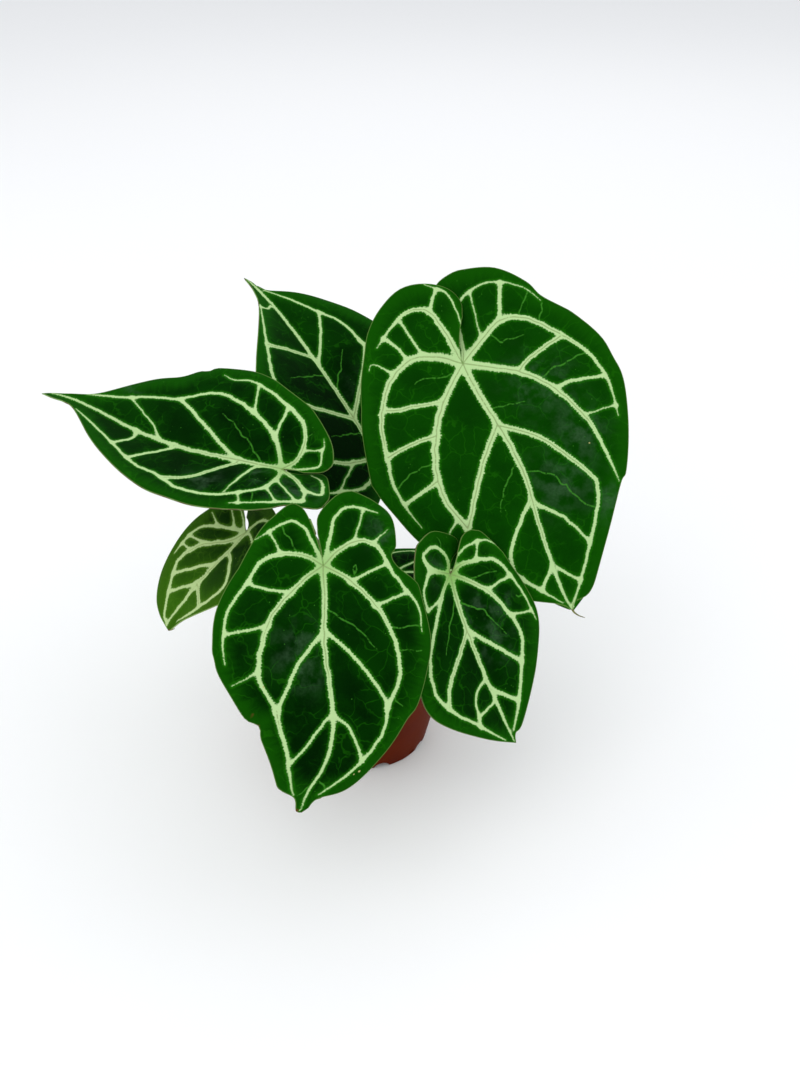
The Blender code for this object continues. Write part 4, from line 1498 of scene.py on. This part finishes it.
# %% Thick roots: the place of the knee, the place where it enters the mix, and the radius
MIX_TOP = 85
ROOTS = (
    ((20, 13), (26, 18), 2.1),
    ((-15, -17), (-20, -23), 1.9),
    ((-6, 21), (-9, 29), 2.0),
    ((12, -21), (17, -28), 1.7),
)
ROOT_RISE = 92
ROOT_DEPTH = 12
ROOT_STEPS = 40
ROOT_START = 0.2
ROOT_END = 1.04
ROOT_WOBBLE_LENGTH = 7
ROOT_LUMPS = 0.14


def root_route(knee, end, radius):
    knots = (
        (knee[0] * ROOT_START, knee[1] * ROOT_START, CROWN_Z),
        (*knee, ROOT_RISE),
        (*end, MIX_TOP - 1),
        (end[0] * ROOT_END, end[1] * ROOT_END, MIX_TOP - ROOT_DEPTH),
    )
    route = through(knots, ROOT_STEPS)
    wobble = [noise.noise_vector(Vector(place) / ROOT_WOBBLE_LENGTH) for place in route]
    fade = np.sin(np.linspace(0, math.pi, ROOT_STEPS))[:, None]
    thickness = [radius * (1 + ROOT_LUMPS * noise.noise(Vector(place) / 3)) for place in route]
    return route + np.array(wobble) * fade, thickness


# %% Finish of crown and roots
def bark_finish(name, brown, dark, hint):
    finish = Finish(name, Roughness=0.8, Specular_IOR_Level=0.25)
    where = finish.where()
    cloud = finish.noise(where, 180, 4)
    grain = finish.noise(where, 1100, 3)
    finish.wire(Base_Color=finish.mix(
        dark, (brown, finish.step(cloud, 0.36, 0.62)), (hint, finish.step(grain, 0.55, 0.75) * 0.45)))
    finish.bump(grain + cloud, 0.6, 0.0006)
    return finish.material


crown_bark = bark_finish("crown_bark", light(104, 78, 46), light(58, 42, 26), light(104, 112, 52))
root_skin = bark_finish("root_skin", light(150, 128, 92), light(96, 78, 52), light(172, 160, 122))
add_piece("crown_lump", crown_mesh(), crown_bark, "crown", "crown")
for index, root in enumerate(ROOTS):
    add_piece(f"crown_root_{index}", tube_mesh("root", *root_route(*root)), root_skin, "crown")

# %% Dry sheaths round the stalks: bearing, length and width
SHEATHS = ((20, 24, 1.1), (95, 20, 1.0), (160, 27, 1.15), (215, 18, 0.9), (275, 25, 1.1), (330, 19, 1.0))
SHEATH_SHORT = 0.62
SHEATH_THICKNESS = 0.35
SHEATH_CURL = 0.62
SHEATH_TIP = 0.05
SHEATH_LEAN = 7
SHEATH_INSIDE = 1.2
SHEATH_FOOT = 6


def sheath_mesh(angle, length, width):
    """A narrow dry leaf base: a grid that is curled round the crown and leans outwards to a point."""
    sheet = bmesh.new()
    bmesh.ops.create_grid(sheet, x_segments=12, y_segments=22, size=1)
    turn = Matrix.Rotation(math.radians(angle), 4, "Z")
    for vertex in sheet.verts:
        across, t = vertex.co.x, (vertex.co.y + 1) / 2
        taper = (1 - t**2.2) * (1 - SHEATH_TIP) + SHEATH_TIP
        bend = across * SHEATH_CURL * taper * width
        radius = CROWN_RADIUS - SHEATH_INSIDE + SHEATH_LEAN * t**1.6 + 0.7 * math.sin(7 * t + angle)
        height = CROWN_Z - SHEATH_FOOT + length * t
        shape = Vector((radius * math.cos(bend), radius * math.sin(bend), height))
        shape += 0.8 * noise.noise_vector(shape / 5 + Vector((angle, 0, 0)))
        vertex.co = turn @ (shape * MM)
    clean(sheet)
    bmesh.ops.solidify(sheet, geom=sheet.faces[:], thickness=SHEATH_THICKNESS * MM)
    return finished(sheet, "sheath")


sheath_paper = bark_finish("sheath_paper", light(158, 124, 76), light(108, 78, 42), light(186, 158, 108))
for index, (angle, length, width) in enumerate(SHEATHS):
    mesh = sheath_mesh(angle, length * SHEATH_SHORT, width)
    add_piece(f"crown_sheath_{index}", mesh, sheath_paper, "crown")
print("crown pieces:", 1 + len(ROOTS) + len(SHEATHS))

# %% [markdown]
# ## Potting mix
# The mix is loose bark and coir with a few pale mineral grains. Its body is a turned solid, whose top
# is moved by noise. On top lie some hundreds of chips. A chip is a bevelled box with shaken corners,
# so it has few faces, and all chips are one piece.

# %% Measures of the pot and a turned solid
POT_HEIGHT = 98
RIM_RADIUS = 60
BAND_RADIUS = 59
BAND_Z = 80
WALL_TOP_RADIUS = 56.6
BASE_RADIUS = 39.5
WALL = 1.6
FLOOR_THICKNESS = 2
TURN_STEPS = 144


def wall_radius(height):
    return BASE_RADIUS + (WALL_TOP_RADIUS - BASE_RADIUS) * height / BAND_Z


def turned(profile):
    """A closed solid turned round the upright axis from radius and height pairs."""
    shell = bmesh.new()
    points = [shell.verts.new((radius * MM, 0, height * MM)) for radius, height in profile]
    edges = [shell.edges.new(pair) for pair in zip(points, points[1:])]
    bmesh.ops.spin(shell, geom=points + edges, axis=(0, 0, 1), cent=(0, 0, 0), angle=math.tau,
                   steps=TURN_STEPS, use_merge=True)
    clean(shell)
    return shell


# %% Body of the mix
MIX_DOME = 1.5
MIX_LOWERED = 0.4
MIX_REACH = 57
MIX_GAP = 0.3
MIX_RINGS = 44
LUMPS = ((1.1, 6), (0.7, 2.3))
HIGHEST_LUMP = 1.2


def mix_height(radius):
    return MIX_TOP + MIX_DOME * (1 - (radius / MIX_REACH) ** 2) - MIX_LOWERED


def mix_mesh():
    inside = WALL + MIX_GAP
    bottom = FLOOR_THICKNESS + MIX_GAP
    edge = BAND_RADIUS - inside
    top = [(radius, mix_height(radius)) for radius in np.linspace(0, edge, MIX_RINGS)]
    side = [(edge, BAND_Z + bottom), (wall_radius(BAND_Z) - inside, BAND_Z + MIX_GAP),
            (wall_radius(bottom) - inside, bottom), (0, bottom)]
    shell = turned(top + side)
    for vertex in shell.verts:
        if vertex.co.z > (MIX_TOP - 2) * MM:
            place = Vector((vertex.co.x, vertex.co.y, 0)) / MM
            lumps = sum(height * noise.noise(place / length) for height, length in LUMPS)
            vertex.co.z += min(lumps, HIGHEST_LUMP) * MM
    return finished(shell, "mix_body")


def mix_finish():
    finish = Finish("mix_coir", Roughness=0.95, Specular_IOR_Level=0.15)
    where = finish.where()
    clods = finish.noise(where, 260, 4)
    grain = finish.noise(where, 1500, 3)
    finish.wire(Base_Color=finish.mix(
        light(34, 24, 16),
        (light(78, 56, 36), finish.step(clods, 0.38, 0.66)),
        (light(118, 92, 60), finish.step(grain, 0.58, 0.72) * 0.5),
    ))
    finish.bump(clods + grain, 0.8, 0.0012)
    return finish.material


add_piece("mix_body", mix_mesh(), mix_finish(), "potting_mix", "potting_mix")

# %% Chips of bark and pale grains
CHIP_COUNT = 330
CHIP_SIZES = ((3.5, 9.5), (2.5, 6), (1.2, 3))
GRAIN_COUNT = 44
GRAIN_SIZES = ((2, 4), (2, 3.6), (1.6, 3))
CHIP_REACH = 52.5
CROWN_CLEAR = 9
CHIP_TILT = 0.5
CORNER_SHAKE = 0.28
CORNER_BEVEL = 0.16


def scattered(name, count, sizes, sink):
    """Bevelled boxes with shaken corners, which lie half sunk in the top of the mix."""
    pile = bmesh.new()
    for _ in range(count):
        radius = math.sqrt(dice.uniform(CROWN_CLEAR**2, CHIP_REACH**2))
        angle = dice.uniform(0, math.tau)
        size = [dice.uniform(*span) for span in sizes]
        turn = Matrix.Rotation(dice.uniform(0, math.tau), 4, "Z")
        turn = turn @ Matrix.Rotation(dice.uniform(-CHIP_TILT, CHIP_TILT), 4, "X")
        height = mix_height(radius) + sink * size[2]
        place = Vector((radius * math.cos(angle), radius * math.sin(angle), height))
        body = Matrix.Translation(place * MM) @ turn @ Matrix.Diagonal((*[side * MM for side in size], 1))
        made = bmesh.ops.create_cube(pile, size=1, matrix=body)["verts"]
        for vertex in made:
            shake = Vector([dice.uniform(-1, 1) for _ in range(3)])
            vertex.co += shake * min(size) * CORNER_SHAKE * MM
        edges = list({edge for vertex in made for edge in vertex.link_edges})
        bmesh.ops.bevel(pile, geom=edges, offset=min(size) * CORNER_BEVEL * MM, segments=1,
                        affect="EDGES", profile=0.5, material=-1)
    bmesh.ops.recalc_face_normals(pile, faces=pile.faces)
    return finished(pile, name, smooth=False)


dice = random.Random(SEED)
bark_chip = bark_finish("bark_chip", light(122, 84, 50), light(60, 40, 24), light(150, 116, 76))
pale_grain = bark_finish("pale_grain", light(222, 218, 206), light(188, 182, 168), light(236, 234, 226))
for name, count, sizes, sink, finish in (
    ("bark_chips", CHIP_COUNT, CHIP_SIZES, 0.1, bark_chip),
    ("pale_grains", GRAIN_COUNT, GRAIN_SIZES, 0.15, pale_grain),
):
    pile = add_piece(name, scattered(name, count, sizes, sink), finish, "potting_mix")
    print(name, "faces:", len(pile.data.polygons))

# %% [markdown]
# ## Nursery pot
# A thin moulded pot: a tapered wall, a wider band at the top with a rolled rim, and a flat foot with
# arched notches and slots, through which water drains. It is turned from a profile with round corners,
# and cutters take the notches and slots out of the foot.

# %% Profile of the pot, each corner with its radius
CORNER_STEPS = 4
EDGE_PARTS = 2.2
POT_PROFILE = (
    (wall_radius(FLOOR_THICKNESS) - WALL, FLOOR_THICKNESS, 1.5),
    (wall_radius(BAND_Z) - WALL, BAND_Z, 1),
    (BAND_RADIUS - WALL, BAND_Z + 2, 1),
    (RIM_RADIUS - WALL, POT_HEIGHT, 0.7),
    (RIM_RADIUS + 0.4, POT_HEIGHT, 0.8),
    (RIM_RADIUS + 0.4, POT_HEIGHT - 3, 0.7),
    (RIM_RADIUS - 0.7, POT_HEIGHT - 3.6, 0.5),
    (BAND_RADIUS, BAND_Z, 0.8),
    (WALL_TOP_RADIUS, BAND_Z, 0.5),
    (BASE_RADIUS + 0.2, 1, 0.6),
    (BASE_RADIUS - 0.6, 0, 0.5),
)


def rounded(first, corners, last):
    """A profile from the axis back to the axis, with its corners cut into short arcs."""
    points = [first, *(corner[:2] for corner in corners), last]
    path = [first]
    for before, corner, after in zip(points, corners, points[2:]):
        here, back, ahead = (np.array(place[:2], float) for place in (corner, before, after))
        to_back, to_ahead = (back - here), (ahead - here)
        back_length, ahead_length = np.linalg.norm(to_back), np.linalg.norm(to_ahead)
        reach = min(corner[2], back_length / EDGE_PARTS, ahead_length / EDGE_PARTS)
        start = here + to_back / back_length * reach
        end = here + to_ahead / ahead_length * reach
        for t in np.linspace(0, 1, CORNER_STEPS + 1):
            path.append(tuple((1 - t) ** 2 * start + 2 * t * (1 - t) * here + t**2 * end))
    return path + [last]


# %% Cutters for notches and slots
NOTCH_COUNT = 8
NOTCH_RADIUS = 5
NOTCH_START = -75
NOTCH_SEGMENTS = 40
SLOT_SHIFT = -12
SLOT_WIDTH = 4.4
SLOT_HEIGHT = 1.6
SLOT_Z = 3
CUT_DEPTH = 12


def cutter_mesh():
    tools = bmesh.new()
    middle = Vector(((BASE_RADIUS - WALL / 2) * MM, 0, 0))
    lie = Matrix.Rotation(math.radians(90), 4, "Y")
    size = Matrix.Diagonal((CUT_DEPTH * MM, SLOT_WIDTH * MM, SLOT_HEIGHT * MM, 1))
    for index in range(NOTCH_COUNT):
        angle = math.radians(NOTCH_START + index * 360 / NOTCH_COUNT)
        place = Matrix.Rotation(angle, 4, "Z") @ Matrix.Translation(middle) @ lie
        bmesh.ops.create_cone(
            tools, cap_ends=True, matrix=place, segments=NOTCH_SEGMENTS, radius1=NOTCH_RADIUS * MM,
            radius2=NOTCH_RADIUS * MM, depth=CUT_DEPTH * MM)
        turn = Matrix.Rotation(angle + math.radians(SLOT_SHIFT), 4, "Z")
        place = turn @ Matrix.Translation(middle + Vector((0, 0, SLOT_Z * MM))) @ size
        bmesh.ops.create_cube(tools, size=1, matrix=place)
    return finished(tools, "drainage_cuts", smooth=False)


# %% Plastic and the pot itself
SHARP_EDGE = 35


def pot_finish():
    finish = Finish("pot_plastic", Roughness=0.5, Specular_IOR_Level=0.03)
    where = finish.where()
    cloud = finish.noise(where, 45, 3)
    scuffs = finish.step(finish.noise(where, 240, 4), 0.66, 0.76)
    color = finish.mix(
        light(84, 22, 0),
        (light(90, 27, 0), finish.step(cloud, 0.35, 0.65)),
        (light(124, 56, 26), scuffs * 0.2),
    )
    finish.wire(Base_Color=color, Roughness=finish.step(cloud, 0.3, 0.7, 0.52, 0.56))
    finish.bump(finish.noise(where, 1800), 0.15, 0.0002)
    return finish.material


def add_pot():
    shell = turned(rounded((0, FLOOR_THICKNESS), POT_PROFILE, (0, 0)))
    pot = add_piece("pot_shell", finished(shell, "pot_shell", smooth=False), pot_finish(),
                    "pot_plastic", "pot")
    cutter = add_object("drainage_cuts", cutter_mesh())
    cut = pot.modifiers.new("Drainage", "BOOLEAN")
    cut.operation = "DIFFERENCE"
    cut.solver = "EXACT"
    cut.object = cutter
    mesh = mesh_of(pot)
    pot.modifiers.clear()
    pot.data = mesh
    bpy.data.objects.remove(cutter, do_unlink=True)
    mesh.shade_smooth()
    mesh.set_sharp_from_angle(angle=math.radians(SHARP_EDGE))
    return pot


pot = add_pot()
print("pot faces:", len(pot.data.polygons))

# %% [markdown]
# ## Floor and light
# The plant stands on a plain pale floor. Soft light comes from large panels, as in a small studio: one
# high in front, one from each side and one behind, with a pale world that lifts the shadows.

# %% Floor
FLOOR_SIZE = 8
FLOOR_GREY = 0.93


def add_floor():
    sheet = bmesh.new()
    bmesh.ops.create_grid(sheet, x_segments=1, y_segments=1, size=FLOOR_SIZE)
    mesh = finished(sheet, "floor", smooth=False)
    paper = Finish("floor_paper", Base_Color=(*[FLOOR_GREY] * 3, 1), Roughness=0.9, Specular_IOR_Level=0.1)
    mesh.materials.append(paper.material)
    add_object("floor", mesh)


add_floor()

# %% Light panels: name, place, size and watts
PANELS = (
    ("front_panel", (-0.5, -1.3, 1.7), 1.6, 11),
    ("left_panel", (-1.6, 0.1, 1.2), 1.4, 5),
    ("right_panel", (1.6, -0.2, 1.3), 1.4, 5),
    ("back_panel", (0.3, 1.5, 1.5), 1.6, 4),
)
PANELS_FACE = Vector((0, 0, 0.15))
WORLD_COLOR = (0.95, 0.97, 1, 1)
WORLD_STRENGTH = 0.85


def add_panel(name, place, size, watts):
    data = bpy.data.lights.new(name, "AREA")
    data.size = size
    data.energy = watts
    panel = add_object(name, data)
    panel.location = place
    panel.rotation_euler = (PANELS_FACE - Vector(place)).to_track_quat("-Z", "Y").to_euler()


for panel in PANELS:
    add_panel(*panel)
world = bpy.data.worlds.new("pale_room")
world.use_nodes = True
pale_air = world.node_tree.nodes["Background"].inputs
pale_air["Color"].default_value = WORLD_COLOR
pale_air["Strength"].default_value = WORLD_STRENGTH
bpy.context.scene.world = world
bpy.context.scene.view_settings.view_transform = "Standard"
print("light panels:", len(PANELS))
